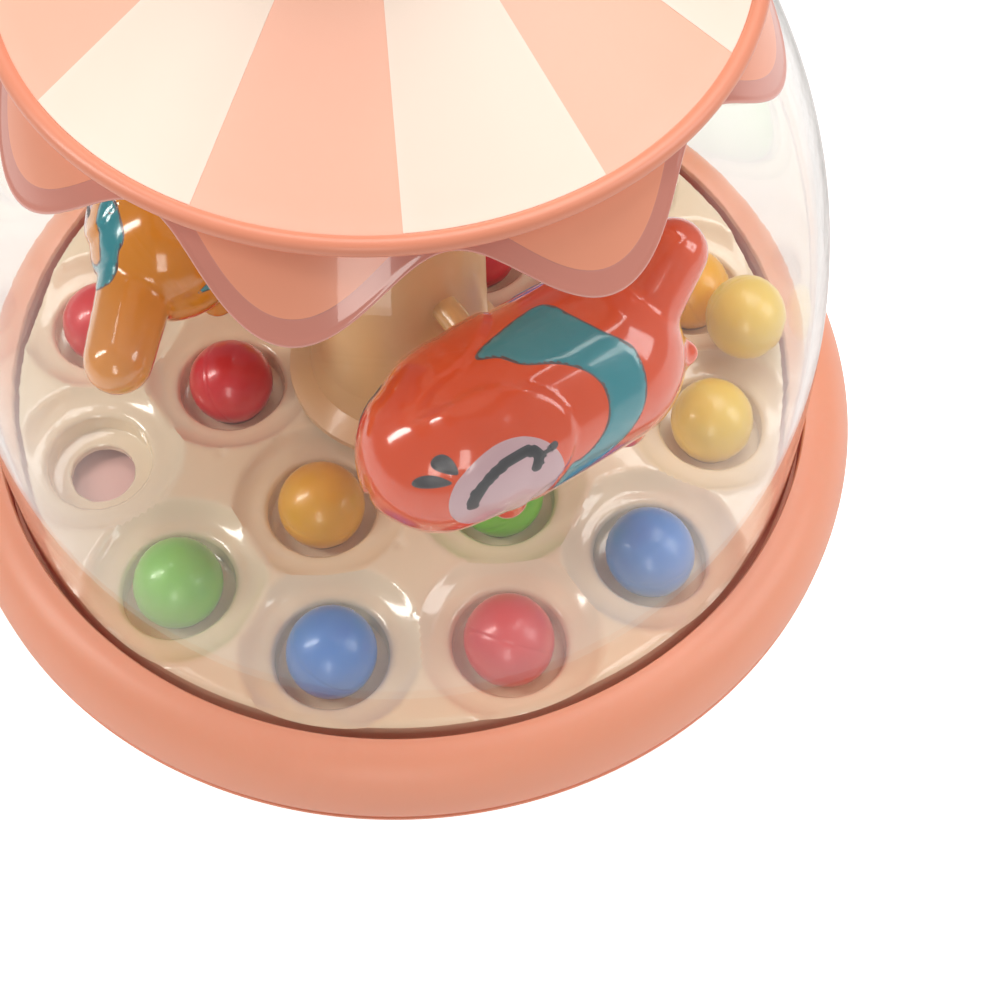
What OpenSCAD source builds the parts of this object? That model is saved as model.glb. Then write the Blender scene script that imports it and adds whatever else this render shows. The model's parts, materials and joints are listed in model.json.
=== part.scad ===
// Press-and-spin carousel music box: a clear dome over a tray of popping balls,
// three ponies on a spinning column, and a striped roof with a scalloped skirt.
// The origin is on the table under the middle of the base, and +Z is up.

/* [Base] */
// Outer diameter of the base ring
base_d = 210; // [200:1:260]
// Height of the rubber feet
foot_h = 2; // [1.5:0.5:5]
// Depth of the tub under the base ring
tub_h = 9.5; // [9.5:0.5:20]
// Thickness of the tub's flange, below the seam
flange_h = 3; // [2.5:0.1:5]
// Height of the base ring above the seam
ring_h = 16.2; // [14:0.1:22]
// Width of the base ring outside the dome
ring_w = 11.7; // [10:0.1:18]
// Wall of the moulded base parts
base_wall = 2.2; // [1.6:0.1:3]
// Number of screws that close the base
base_screw_count = 6; // [3:1:12]

/* [Dome] */
// Gap between the dome and the base ring
dome_gap = 0.8; // [0.4:0.1:1.5]
// Wall of the clear dome
dome_wall = 2; // [1.5:0.1:3]
// Height of the dome above its foot
dome_h = 137; // [120:1:180]
// How far the dome's mouth lies inside its foot
dome_inset = 30.5; // [20:0.5:36]
// Sharpness of the dome's shoulder
dome_power = 2.45; // [2:0.05:3.5]

/* [Ball tray] */
// Diameter of a ball
ball_d = 19.4; // [16:0.1:24]
// Gap round a ball in its socket
ball_gap = 2.65; // [1:0.05:3]
// Number of balls in the outer ring
outer_count = 12; // [8:2:12]
// Number of balls in the inner ring
inner_count = 6; // [3:1:6]
// Distance between the two rings of balls
ring_pitch = 33; // [31:0.5:36]
// Width of the flat band outside the outer sockets
tray_band = 4.45; // [4:0.05:8]
// How far a crater spreads past its socket
crater_spread = 7.4; // [5:0.1:9]
// Depth of a crater
crater_depth = 3; // [2:0.1:4]
// Height that a ball hops
ball_hop = 12; // [6:1:18]

/* [Carousel] */
// Radius of the column at its foot
column_r = 20; // [18:0.5:24]
// Radius of the circle that the ponies ride on
pony_circle_r = 48; // [46:0.5:56]
// Height of the middle of a pony's body
pony_z = 77; // [74:1:96]
// Radius of a pony's body
pony_r = 18.5; // [14:0.5:19]
// Number of kicker bumps under the outer balls
bump_count = 6; // [3:1:6]

/* [Roof] */
// Radius of the roof inside its rim
roof_r = 66; // [64:0.5:72]
// Height of the roof cone above its rim
roof_rise = 32; // [28:0.5:40]
// Wall of the roof
roof_wall = 2.2; // [1.8:0.1:3]
// Radius of the round bead along the rim
bead_r = 2.1; // [1.5:0.1:3]
// Number of stripes of each colour
stripe_pairs = 6; // [4:1:10]
// Number of scallops round the skirt
scallop_count = 8; // [6:1:12]
// Depth from the arches of the skirt to its lobes
scallop_drop = 14; // [8:0.5:18]
// Gap between the skirt and the dome
skirt_gap = 0.8; // [0.5:0.1:1.5]

/* [Press knob] */
// Radius of the press knob
knob_r = 24; // [18:0.5:28]
// Height of the knob's cap
knob_h = 28; // [24:1:36]
// Travel of the knob
knob_travel = 22; // [12:1:24]
// Radius of the sliding stem
stem_r = 8; // [7.5:0.1:9]
// Rise of the twisted rod over one full turn
rod_lead = 60; // [50:1:120]

/* [Running fits] */
// Radial clearance of a shaft in its bush
bush_fit = 0.06; // [0.03:0.01:0.1]
// Gap between parts that move past each other
free_gap = 0.4; // [0.3:0.05:0.8]

/* [Hidden] */

$fn = 96;
smooth_fn = 28;
eps = 0.01;

base_r = base_d / 2;
tub_z = foot_h;
flange_z = tub_z + tub_h;
seam_z = flange_z + flange_h;
// The ring grows with its balls, so that the kicker disc stays clear of the battery box
ball_ref_d = 19.4;
ring_top_z = seam_z + ring_h + (ball_d - ball_ref_d) / 2;
bead_centre_z = seam_z + 3;
bead_round_r = flange_h + 3;
ring_in_r = base_r - ring_w;
dome_r = ring_in_r - dome_gap;
dome_foot_z = ring_top_z - 10.5;
dome_bend_z = dome_foot_z + 31;
dome_top_z = dome_foot_z + dome_h;
dome_mouth_r = dome_r - dome_inset;

ball_r = ball_d / 2;
socket_r = ball_r + ball_gap;
cup_wall = 1.8;
tray_r = dome_r - dome_wall - 0.6;
tray_top_z = ring_top_z + 0.3;
tray_t = 5.5;
outer_circle_r = tray_r - tray_band - socket_r;
inner_circle_r = outer_circle_r - ring_pitch;
ball_z = tray_top_z - crater_depth + 0.8;
socket_hole_r = ball_r - 2.2;
socket_floor_z = ball_z - sqrt(pow(ball_r, 2) - pow(socket_hole_r, 2));
cup_z = socket_floor_z - 1.9;
ledge_z = dome_foot_z;
ledge_t = 2;
tray_hole_r = column_r - 0.5;
outer_step = 360 / outer_count;
inner_step = 360 / inner_count;
dimple_r = 1.2;
loose_ball = outer_count - 4;
loose_angle = outer_angle(1) + outer_step / 2 + 0.7;

kicker_t = 1.4;
kicker_top_z = ball_z - ball_r - 1.7;
kicker_z = kicker_top_z - kicker_t;
kicker_r = outer_circle_r + socket_r - 1.5;
bump_h = ball_z - ball_r - free_gap - kicker_top_z;

deck_z = dome_top_z;
deck_t = 2;
deck_r = dome_mouth_r + skirt_gap - 0.4;

// Where the deck reaches under the rim, the roof stands higher
roof_rim_z = deck_z + (deck_r > roof_r ? deck_t + bead_r + 1.2 : 4.7);
roof_slope = roof_rise / roof_r;
roof_apex_z = roof_rim_z + roof_rise;
roof_drop = roof_wall * sqrt(1 + pow(roof_slope, 2));
panel_t = 0.7;
panel_in_r = 14;
panel_out_r = roof_r - 0.8;
rim_bead_r = roof_r + 1.4;
rim_bead_z = roof_rim_z - 1;
stripe_angle = 180 / stripe_pairs;
stripe_start = -88.8;
collar_r = stem_r + 3.5;
collar_top_z = roof_apex_z - 3;
skirt_t = 1.8;
skirt_top_z = deck_z + deck_t + 0.6;
arch_z = skirt_top_z - 4.7;
scallop_mid_z = arch_z - scallop_drop / 2;
scallop_start = -60;
skirt_steps = 12;
skirt_rows = 6;

cup_r = stem_r + 5.5;
cup_floor_z = deck_z - 9;
cup_floor_t = 2;
cup_side_t = 2;
bush_wall = 2;
bush_flange_t = 2;
stem_bottom_z = cup_floor_z - cup_floor_t - 3;
flange_top_z = roof_cone_z(stem_r + 4) - roof_drop - 1.6;
stem_flange_t = 2;
stem_flange_r = stem_r + 4;
cap_z = collar_top_z + knob_travel - 5;
cap_tube_z = collar_top_z + knob_travel + 1;
cap_top_z = cap_z + knob_h;
cap_tube_t = 2;
stem_top_z = cap_tube_z + 8;
spring_wire = 1.4;
spring_turns = 5.5;
spring_steps = 16;
spring_r = stem_r + 3;
spring_z = cup_floor_z + bush_flange_t;
spring_len = flange_top_z - stem_flange_t - spring_z;

column_top_z = stem_bottom_z - 3;
column_bore_r = 15;
column_flange_z = tray_top_z + 1.5;
column_plug_z = kicker_top_z + 6.6;
axle_r = 2.5;
axle_boss_r = 6;
axle_boss_z = kicker_z - 1.5;
axle_top_z = column_plug_z + 20;
bush_r = axle_r + bush_wall;

nut_z = stem_bottom_z - knob_travel - 10;
nut_t = 3;
nut_r = 7.5;
rod_w = 5;
rod_t = 2;
rod_len = stem_bottom_z - nut_z + knob_travel / 2 + 12;
rod_bottom_z = stem_bottom_z - rod_len;
rod_rate = 360 / rod_lead;
nut_angle = rod_rate * (nut_z + nut_t / 2 - rod_bottom_z);
nut_slack = rod_w / 2 * sin(rod_rate * nut_t / 2) + 0.25;
ratchet_in_r = 11.6;
ratchet_h = 8;
tooth_count = 12;

pony_angles = [-60, 60, 180];
pony_radii = [pony_r, pony_r - 1, pony_r - 2];
pony_gap = 0.15;
mane_bands = [-13, -13, 3.5];
mane_t = 1;
mane_w = 9;
arm_drop = 2;
arm_z = pony_z - arm_drop;
arm_r = 3;
arm_in = 3;
arm_fit = 0.02;

cell_r = 5.25;
cell_len = 44.5;
cell_count = 3;
box_wall = 1.4;
box_w = cell_len + 4;
box_d = cell_count * (2 * cell_r + 0.3) + 2 * box_wall;
box_y = 46;
door_t = 1.4;
door_lip = 2.5;
cell_z = tub_z + door_t + 0.2 + cell_r;
box_top_z = cell_z + cell_r + 0.9;
speaker_r = 20;
speaker_at = [-46, -22];
speaker_h = 8.5;
board_size = [46, 28, 1.6];
board_at = [34, -42];
board_lift = 3;
switch_at = [62, 2];
switch_travel = 4;
switch_size = [6, 3.4];
switch_fit = 0.4;
screw_r = 1.3;
screw_head_r = 2.8;
screw_head_h = 1.7;
screw_clear = 0.3;
screw_len = 8;
screw_boss_r = 3.2;
screw_boss_h = 10;
door_boss_r = 4;
door_boss_h = 6;
door_lobe_r = 6;
door_head_h = 1.2;
door_screw_y = box_y + box_d / 2 + 5;
post_r = 2.4;
grille_hole_r = 0.9;
grille_pitch = 4.2;
foot_r = 7;
foot_circle_r = base_r - 26;
floor_z = tub_z + base_wall;
screw_circle_r = ring_in_r + 5.3;
deck_screw_circle_r = min(dome_mouth_r, roof_r - 4) - 14;

salmon = "#eba98c";
rose = "#e58f7f";
cream = "#eadfcb";
ivory = "#fbeadb";
teal = "#4a8f98";
gold = "#e5a93f";
orange = "#d95a2b";
pink = "#e88b9a";
steel = "#b9bdc2";
ball_colours = ["#e5b64f", "#e5c55a", "#4f8fd0", "#d4505c", "#4f8fd0", "#8cc850"];

// Height of the roof's outer surface at radius r
function roof_cone_z(r) = roof_apex_z - r * roof_slope;
// Outer radius of the dome at height z
function dome_outer(z) =
    dome_r - dome_inset * pow(max(0, min(1, (z - dome_bend_z) / (dome_top_z - dome_bend_z))), dome_power);
// Points along an ellipse's arc from angle a to angle b
function arc(cr, cz, rr, rz, a, b, n) =
    [for (i = [0 : n]) let (t = a + (b - a) * i / n) [cr + rr * cos(t), cz + rz * sin(t)]];
// A point at radius r and angle a on height z
function polar(r, a, z = 0) = [r * cos(a), r * sin(a), z];
// Height of the skirt's lower edge at angle a
function scallop_z(a) = scallop_mid_z - scallop_drop / 2 * cos(scallop_count * (a - scallop_start));
// Place of the ball numbered i, which starts at the socket on the right of the empty one
function outer_angle(i) = -15 + outer_step * (i - 1);
function inner_angle(i) = -60 + inner_step * (i - 1);

module at_polar(r, a, z = 0) { translate(polar(r, a, z)) children(); }

module tube(h, r_out, r_in) {
    difference() {
        cylinder(h = h, r = r_out);
        translate([0, 0, -1]) cylinder(h = h + 2, r = r_in);
    }
}

module screw(shaft_r, head_r, head_h, length) {
    cylinder(h = head_h, r = head_r);
    translate([0, 0, head_h]) cylinder(h = length, r = shaft_r);
}

// ---- base ----

module base_tub() {
    color(salmon) difference() {
        union() {
            rotate_extrude() polygon(concat(
                [[0, tub_z], [ring_in_r - 3, tub_z]],
                arc(ring_in_r - 3, tub_z + 4, 4, 4, -90, 0, 5),
                [[ring_in_r + 1, flange_z]],
                arc(base_r - bead_round_r, bead_centre_z, bead_round_r, bead_round_r, -90, -30, 8),
                [[ring_in_r - 1.5, seam_z], [ring_in_r - 1.5, floor_z + 3], [ring_in_r - 4.5, floor_z], [0, floor_z]]));
            cylinder(h = axle_boss_z - eps, r = axle_boss_r);
            for (p = board_posts()) translate([p[0], p[1], tub_z]) cylinder(h = base_wall + board_lift, r = post_r);
            translate([0, door_screw_y, tub_z]) cylinder(h = base_wall + door_boss_h, r = door_boss_r);
        }
        translate([0, 0, -eps]) cylinder(h = tub_z, r = base_r);
        translate([0, 0, floor_z]) cylinder(h = axle_boss_z, r = axle_r);
        for (i = [1 : base_screw_count]) at_polar(screw_circle_r, 360 / base_screw_count * i, flange_z - 1) {
            cylinder(h = screw_len, r = screw_r + screw_clear);
            cylinder(h = 1 + screw_head_h, r = screw_head_r + screw_clear);
        }
        translate([-box_w / 2, box_y - box_d / 2, 0]) cube([box_w, box_d, floor_z + 1]);
        door_outline(0.3, tub_z - 1, door_t + 1.1);
        translate([0, door_screw_y, 0]) cylinder(h = floor_z + door_boss_h - 1, r = screw_r + screw_clear);
        translate([switch_at[0], switch_at[1] - switch_size[1] / 2 - switch_fit, 0])
            translate([-switch_size[0] / 2 - switch_fit, 0, 0])
                cube([switch_size[0] + switch_travel + 2 * switch_fit, switch_size[1] + 2 * switch_fit, floor_z + 1]);
        for (k = [1 : 3]) for (i = [1 : 6 * k])
            translate([speaker_at[0], speaker_at[1], 0]) at_polar(grille_pitch * k, 60 / k * i)
                cylinder(h = floor_z + 1, r = grille_hole_r);
    }
}

function board_posts() = [for (sx = [-1, 1]) for (sy = [-1, 1])
    [board_at[0] + sx * (board_size[0] / 2 - 4), board_at[1] + sy * (board_size[1] / 2 - 4)]];

module door_outline(gap, z, h) {
    w = box_w + 2 * door_lip + 2 * gap;
    d = box_d + 2 * door_lip + 2 * gap;
    translate([-w / 2, box_y - d / 2, z]) cube([w, d, h]);
    translate([0, door_screw_y, z]) cylinder(h = h, r = door_lobe_r + gap);
}

module base_ring() {
    crown_r = ring_w - 1.2;
    crown_h = ring_top_z - bead_centre_z;
    color(salmon) difference() {
        union() {
            difference() {
                rotate_extrude() polygon(concat(
                    [[ring_in_r - 1.5, seam_z]],
                    arc(base_r - bead_round_r, bead_centre_z, bead_round_r, bead_round_r, -30, 0, 5),
                    arc(base_r - crown_r, bead_centre_z, crown_r, crown_h, 6, 90, 14),
                    [[ring_in_r, ring_top_z - 0.6], [ring_in_r, ledge_z], [tray_r - 2.2, ledge_z],
                     [tray_r - 2.2, ledge_z - ledge_t], [ring_in_r - 1.5, ledge_z - ledge_t]]));
                rotate_extrude() polygon(concat(
                    [[ring_in_r + base_wall - 0.2, seam_z - 1], [base_r - base_wall - 1, seam_z - 1]],
                    arc(base_r - crown_r, bead_centre_z, crown_r - base_wall, crown_h - base_wall, 0, 80, 10),
                    [[ring_in_r + base_wall - 0.2, ring_top_z - base_wall - 0.8]]));
            }
            for (i = [1 : base_screw_count])
                at_polar(screw_circle_r, 360 / base_screw_count * i, seam_z) cylinder(h = screw_boss_h, r = screw_boss_r);
        }
        for (i = [1 : base_screw_count])
            at_polar(screw_circle_r, 360 / base_screw_count * i, seam_z - 1) cylinder(h = screw_boss_h - 1, r = screw_r);
    }
}

module rubber_feet() {
    color("#4a4a4e") for (i = [0 : 3]) at_polar(foot_circle_r, 45 + 90 * i)
        cylinder(h = foot_h, r1 = foot_r - 0.8, r2 = foot_r);
}

module base_screws() {
    color(steel) for (i = [1 : base_screw_count])
        at_polar(screw_circle_r, 360 / base_screw_count * i, flange_z)
        screw(screw_r, screw_head_r, screw_head_h, screw_len);
}

module ball_tray() {
    color(cream) difference() {
        union() {
            translate([0, 0, tray_top_z - tray_t]) cylinder(h = tray_t, r = tray_r);
            translate([0, 0, ledge_z]) tube(tray_top_z - tray_t - ledge_z + eps, tray_r, tray_r - 1.9);
            each_socket() translate([0, 0, cup_z]) cylinder(h = tray_top_z - 2 - cup_z, r = socket_r + cup_wall);
        }
        each_socket() {
            translate([0, 0, socket_floor_z]) cylinder(h = 20, r = socket_r);
            translate([0, 0, cup_z - 1]) cylinder(h = 10, r = socket_hole_r);
            translate([0, 0, tray_top_z - crater_depth])
                cylinder(h = crater_depth + eps, r1 = socket_r, r2 = socket_r + crater_spread);
        }
        cylinder(h = 100, r = tray_hole_r);
        for (i = [1 : inner_count])
            at_polar(inner_circle_r + 7, inner_angle(i) - 34, tray_top_z) sphere(r = dimple_r, $fn = 24);
    }
}

module each_socket() {
    for (i = [1 : outer_count]) at_polar(outer_circle_r, outer_angle(i)) children();
    for (i = [1 : inner_count]) at_polar(inner_circle_r, inner_angle(i)) children();
}

module clear_dome() {
    rows = 22;
    zs = [for (i = [0 : rows]) dome_bend_z + (dome_top_z - dome_bend_z) * i / rows];
    color("#dfeef2", 0.3) rotate_extrude() polygon(concat(
        [[dome_r - dome_wall, ledge_z], [dome_r, ledge_z]],
        [for (z = zs) [dome_outer(z), z]],
        [for (i = [rows : -1 : 0]) [dome_outer(zs[i]) - dome_wall, zs[i] - (i == rows ? 0 : i / rows)]]));
}

// ---- roof ----

module roof_cone() {
    color(rose) union() {
        difference() {
            rotate_extrude() polygon([
                [collar_r, collar_top_z], [collar_r, roof_cone_z(collar_r)], [roof_r, roof_rim_z],
                [roof_r + bead_r, roof_rim_z - bead_r / 2], [roof_r + bead_r, roof_rim_z - roof_drop],
                [roof_r, roof_rim_z - roof_drop], [collar_r, roof_cone_z(collar_r) - roof_drop],
                [stem_r + 0.5, roof_cone_z(collar_r) - roof_drop], [stem_r + 0.5, collar_top_z]]);
            roof_sectors(panel_t + 1);
        }
        translate([0, 0, rim_bead_z]) rotate_extrude() translate([rim_bead_r, 0]) circle(r = bead_r, $fn = 48);
    }
}

// Every second stripe of the roof, t thick from the bottom of the ivory panels
module roof_sectors(t) {
    for (i = [0 : stripe_pairs - 1]) rotate([0, 0, stripe_start + 2 * stripe_angle * i])
        rotate_extrude(angle = stripe_angle) polygon([
            [panel_in_r, roof_cone_z(panel_in_r) - panel_t], [panel_out_r, roof_cone_z(panel_out_r) - panel_t],
            [panel_out_r, roof_cone_z(panel_out_r) - panel_t + t],
            [panel_in_r, roof_cone_z(panel_in_r) - panel_t + t]]);
}

module roof_panels() { color(ivory) roof_sectors(panel_t); }

module scallop_skirt() {
    n = scallop_count * skirt_steps;
    ring_points = function (s, in) [for (j = [0 : skirt_rows]) for (i = [0 : n - 1])
        let (a = 360 * i / n, low = scallop_z(a), z = skirt_top_z + (low - skirt_top_z) * j / skirt_rows)
        polar(dome_outer(z) + skirt_gap + s, a, z - in)];
    outer = ring_points(skirt_t, 0);
    inner = ring_points(0, 0);
    m = len(outer);
    quads = [for (j = [0 : skirt_rows - 1]) for (i = [0 : n - 1]) let (k = (i + 1) % n)
        [j * n + i, (j + 1) * n + i, (j + 1) * n + k, j * n + k]];
    tris = [for (q = quads) each [[q[0], q[2], q[1]], [q[0], q[3], q[2]]]];
    inner_tris = [for (t = tris) [m + t[0], m + t[2], m + t[1]]];
    rim = function (j, flip) [for (i = [0 : n - 1]) let (k = (i + 1) % n, a = j * n + i, b = j * n + k)
        each (flip ? [[a, m + a, m + b], [a, m + b, b]] : [[a, m + b, m + a], [a, b, m + b]])];
    color(salmon) polyhedron(points = concat(outer, inner),
        faces = concat(tris, inner_tris, rim(0, true), rim(skirt_rows, false)));
}

module roof_deck() {
    color(ivory) difference() {
        union() {
            translate([0, 0, deck_z]) cylinder(h = deck_t, r = deck_r);
            translate([0, 0, cup_floor_z - cup_floor_t]) cylinder(h = deck_z - cup_floor_z + cup_floor_t, r = cup_r + cup_side_t);
        }
        translate([0, 0, cup_floor_z]) cylinder(h = 40, r = cup_r);
        translate([0, 0, cup_floor_z - 10]) cylinder(h = 20, r = stem_r + bush_wall);
        for (i = [0 : 2]) at_polar(deck_screw_circle_r, 30 + 120 * i, deck_z - 1) cylinder(h = 5, r = screw_r);
    }
}

module deck_screws() {
    color(steel) for (i = [0 : 2]) at_polar(deck_screw_circle_r, 30 + 120 * i, deck_z - screw_head_h)
        screw(screw_r, screw_head_r, screw_head_h, deck_t + 5);
}

module top_bush() {
    color("#f4f2ec") difference() {
        union() {
            translate([0, 0, cup_floor_z - cup_floor_t]) cylinder(h = cup_floor_t, r = stem_r + bush_wall);
            translate([0, 0, cup_floor_z]) cylinder(h = bush_flange_t, r = cup_r - 0.3);
        }
        cylinder(h = 400, r = stem_r + bush_fit);
    }
}

// ---- drive ----

module axle() { color(steel) translate([0, 0, floor_z]) cylinder(h = axle_top_z - floor_z, r = axle_r); }

module lower_bush() {
    color("#f4f2ec") difference() {
        union() {
            translate([0, 0, kicker_z - 1]) cylinder(h = 1, r = bush_r + 2.5);
            translate([0, 0, kicker_z]) cylinder(h = axle_top_z - kicker_z - 2, r = bush_r);
        }
        cylinder(h = 200, r = axle_r + bush_fit);
    }
}

module kicker_disc() {
    color(pink) difference() {
        union() {
            translate([0, 0, kicker_z]) cylinder(h = kicker_t, r = kicker_r);
            for (i = [1 : bump_count]) {
                at_polar(outer_circle_r, outer_angle(1) + outer_step / 2 + 360 / bump_count * i, kicker_top_z) bump();
                at_polar(inner_circle_r, inner_angle(1) + 30 + 360 / bump_count * i, kicker_top_z) bump();
            }
        }
        cylinder(h = 100, r = bush_r);
    }
}

module bump() { cylinder(h = bump_h, r1 = 6, r2 = 3); }

module column() {
    top_r = column_r - 2.5;
    color(gold) difference() {
        rotate_extrude() polygon([
            [bush_r, kicker_top_z], [column_r - 3, kicker_top_z], [column_r - 3, column_flange_z],
            [column_r + 6, column_flange_z], [column_r + 6, column_flange_z + 1.6], [column_r + 1, column_flange_z + 4],
            [column_r, column_flange_z + 12], [top_r, column_top_z - 1], [top_r - 1, column_top_z],
            [stem_r + 1.2, column_top_z], [stem_r + 1.2, column_top_z - 3], [column_bore_r, column_top_z - 4],
            [column_bore_r, column_plug_z], [bush_r, column_plug_z]]);
        for (a = pony_angles) rotate([0, 0, a]) translate([0, 0, arm_z]) rotate([0, 90, 0])
            cylinder(h = column_r + 5, r = arm_r);
    }
}

module ratchet_ring() {
    color("#f4f2ec") difference() {
        translate([0, 0, nut_z - 3]) cylinder(h = ratchet_h, r = column_bore_r);
        translate([0, 0, nut_z - 1]) cylinder(h = ratchet_h, r = ratchet_in_r);
        translate([0, 0, nut_z - 10]) cylinder(h = 20, r = 5);
        for (i = [1 : tooth_count]) rotate([0, 0, 360 / tooth_count * i])
            translate([ratchet_in_r - 0.6, 0, nut_z - 1]) rotate([0, 0, 25]) cube([1.6, 2.6, ratchet_h]);
    }
}

module drive_nut() {
    color("#8fb8c8") rotate([0, 0, nut_angle]) difference() {
        translate([0, 0, nut_z]) cylinder(h = nut_t, r = nut_r);
        translate([-rod_w / 2 - 0.3, -rod_t / 2 - nut_slack, nut_z - 1])
            cube([rod_w + 0.6, rod_t + 2 * nut_slack, nut_t + 2]);
    }
}

module clutch_pawls() {
    color("#d8734f") rotate([0, 0, nut_angle]) for (a = [0, 180]) rotate([0, 0, a]) intersection() {
        translate([0, 0, nut_z + 0.4]) tube(nut_t - 0.8, ratchet_in_r - 0.5, nut_r);
        translate([0, -1.2, nut_z]) cube([20, 2.4, nut_t]);
    }
}

// A flat bar twisted about its own length, with a corner ring at each step
module twist_rod() {
    steps = 36;
    corners = [[1, 1], [-1, 1], [-1, -1], [1, -1]];
    points = [for (i = [0 : steps]) for (c = corners)
        let (h = rod_len * i / steps, a = rod_rate * h, x = c[0] * rod_w / 2, y = c[1] * rod_t / 2)
        [x * cos(a) - y * sin(a), x * sin(a) + y * cos(a), rod_bottom_z + h]];
    sides = [for (i = [0 : steps - 1]) for (s = [0 : 3]) let (t = (s + 1) % 4)
        each [[i * 4 + s, (i + 1) * 4 + t, i * 4 + t], [i * 4 + s, (i + 1) * 4 + s, (i + 1) * 4 + t]]];
    color(steel) polyhedron(points = points,
        faces = concat(sides, [[0, 1, 2, 3]], [[for (s = [3 : -1 : 0]) steps * 4 + s]]));
}

module knob_stem() {
    color(ivory) difference() {
        union() {
            translate([0, 0, stem_bottom_z]) cylinder(h = stem_top_z - stem_bottom_z, r = stem_r);
            translate([0, 0, flange_top_z - stem_flange_t]) cylinder(h = stem_flange_t, r = stem_flange_r);
        }
        translate([0, 0, stem_bottom_z + 8]) cylinder(h = 200, r = stem_r - 2.5);
    }
}

module knob_cap() {
    dome_rise = knob_h - 8;
    color(teal) union() {
        rotate_extrude() polygon(concat(
            [[knob_r - 2, cap_z], [knob_r - 0.6, cap_z]],
            [[knob_r, cap_z + 1.5], [knob_r, cap_top_z - dome_rise]],
            arc(0, cap_top_z - dome_rise, knob_r, dome_rise, 8, 90, 12),
            arc(0, cap_top_z - dome_rise, knob_r - 2.2, dome_rise - 2.2, 90, 0, 12),
            [[knob_r - 2.2, cap_z + 2]]));
        difference() {
            translate([0, 0, cap_tube_z]) cylinder(h = cap_top_z - 1.5 - cap_tube_z, r = stem_r + cap_tube_t);
            translate([0, 0, cap_tube_z - 1]) cylinder(h = stem_top_z - cap_tube_z + 1, r = stem_r);
        }
    }
}

// A closed tube of radius r swept along the points p, with `sides` sides
module sweep(p, r, sides) {
    n = len(p);
    unit = function (v) v / norm(v);
    ring = function (i) let (
        t = unit(p[min(i + 1, n - 1)] - p[max(i - 1, 0)]),
        u = unit(cross([0, 0, 1], t)), v = cross(t, u))
        [for (s = [0 : sides - 1]) let (a = 360 * s / sides) p[i] + r * (cos(a) * u + sin(a) * v)];
    polyhedron(points = [for (i = [0 : n - 1]) each ring(i)],
        faces = concat(
            [for (i = [0 : n - 2]) for (s = [0 : sides - 1]) let (t = (s + 1) % sides)
                each [[i * sides + s, (i + 1) * sides + t, i * sides + t],
                      [i * sides + s, (i + 1) * sides + s, (i + 1) * sides + t]]],
            [[for (s = [0 : sides - 1]) s], [for (s = [sides - 1 : -1 : 0]) (n - 1) * sides + s]]));
}

module return_spring() {
    n = round(spring_turns * spring_steps);
    color(steel) sweep([for (i = [0 : n])
        polar(spring_r, 360 * spring_turns * i / n,
              spring_z + spring_wire / 2 + 0.1 + (spring_len - spring_wire - 0.2) * i / n)],
        spring_wire / 2, 8);
}

// ---- ponies ----

// Places a pony's own frame: x forward, y to its left, z up
module pony_frame(a) { at_polar(pony_circle_r, a, pony_z) rotate([0, 0, a - 90]) children(); }

module capsule(p, q, r) {
    d = q - p;
    l = norm(d);
    translate(p) rotate([0, acos(d[2] / l), atan2(d[1], d[0])]) rotate_extrude() union() {
        translate([0, 0]) square([r, l]);
        intersection() {
            translate([0, l]) circle(r = r);
            translate([0, l]) square([r, r]);
        }
        intersection() {
            circle(r = r);
            translate([0, -r]) square([r, r]);
        }
    }
}

// A pony whose body starts at `rump`, with its mane's band at `band` and its tail from one point to another
module pony(tint, a, rump, band, body_r, tail_from, tail_to) {
    head_r = body_r * 0.88;
    cheek_r = body_r * 0.86;
    tail_r = body_r * 0.3;
    leg_r = body_r * 0.25;
    color(tint) pony_frame(a) difference() {
        union() {
            capsule([rump, 0, 0], [10, 0, 0], body_r);
            capsule([10, 0, 0], [21, 0, -1], head_r);
            for (y = [-4, 4]) translate([13, y, 3]) sphere(r = cheek_r);
            for (x = [rump - 3, max(10, band + mane_w + leg_r + 2 * pony_gap)]) for (y = [-1, 1])
                capsule([x, y * 8, -8], [x, y * 8.5, 1 - body_r], leg_r);
            capsule(tail_from, tail_to, tail_r);
        }
        translate([band - pony_gap, 0, 0]) rotate([0, 90, 0]) tube(mane_w + 2 * pony_gap, 2 * body_r, body_r + pony_gap / 2);
        translate([0, arm_in - body_r, -arm_drop]) rotate([90, 0, 0]) cylinder(h = body_r, r = arm_r + arm_fit);
    }
}

module mane(tint, a, band, body_r) {
    color(tint) pony_frame(a) translate([band, 0, 0]) rotate([0, 90, 0]) rotate([0, 0, 45])
        rotate_extrude(angle = 270) translate([body_r + pony_gap, 0]) square([mane_t, mane_w]);
}

module pony_arms() {
    color(gold) for (i = [0 : 2]) rotate([0, 0, pony_angles[i]]) translate([0, 0, arm_z]) rotate([0, 90, 0])
        translate([0, 0, column_bore_r]) cylinder(h = pony_circle_r - pony_radii[i] - column_bore_r + arm_in, r = arm_r);
}

module pony_orange() { pony(orange, pony_angles[0], -15, mane_bands[0], pony_radii[0], [-28, 0, 8], [-42, 0, 17]); }
module pony_pink() { pony(pink, pony_angles[1], -15, mane_bands[1], pony_radii[1], [-22, 0, 8], [-38, 0, 14]); }
module pony_amber() { pony(gold, pony_angles[2], -1, mane_bands[2], pony_radii[2], [-6, 6, 0], [-25, 10, -2]); }
module mane_orange() { mane(teal, pony_angles[0], mane_bands[0], pony_radii[0]); }
module mane_pink() { mane(ivory, pony_angles[1], mane_bands[1], pony_radii[1]); }
module mane_amber() { mane(teal, pony_angles[2], mane_bands[2], pony_radii[2]); }

// ---- music module ----

module battery_box() {
    color("#3b3b40") difference() {
        translate([-box_w / 2, box_y - box_d / 2, floor_z]) cube([box_w, box_d, box_top_z - floor_z]);
        translate([-box_w / 2 + box_wall, box_y - box_d / 2 + box_wall, 0])
            cube([box_w - 2 * box_wall, box_d - 2 * box_wall, box_top_z - 0.8]);
    }
}

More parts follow.
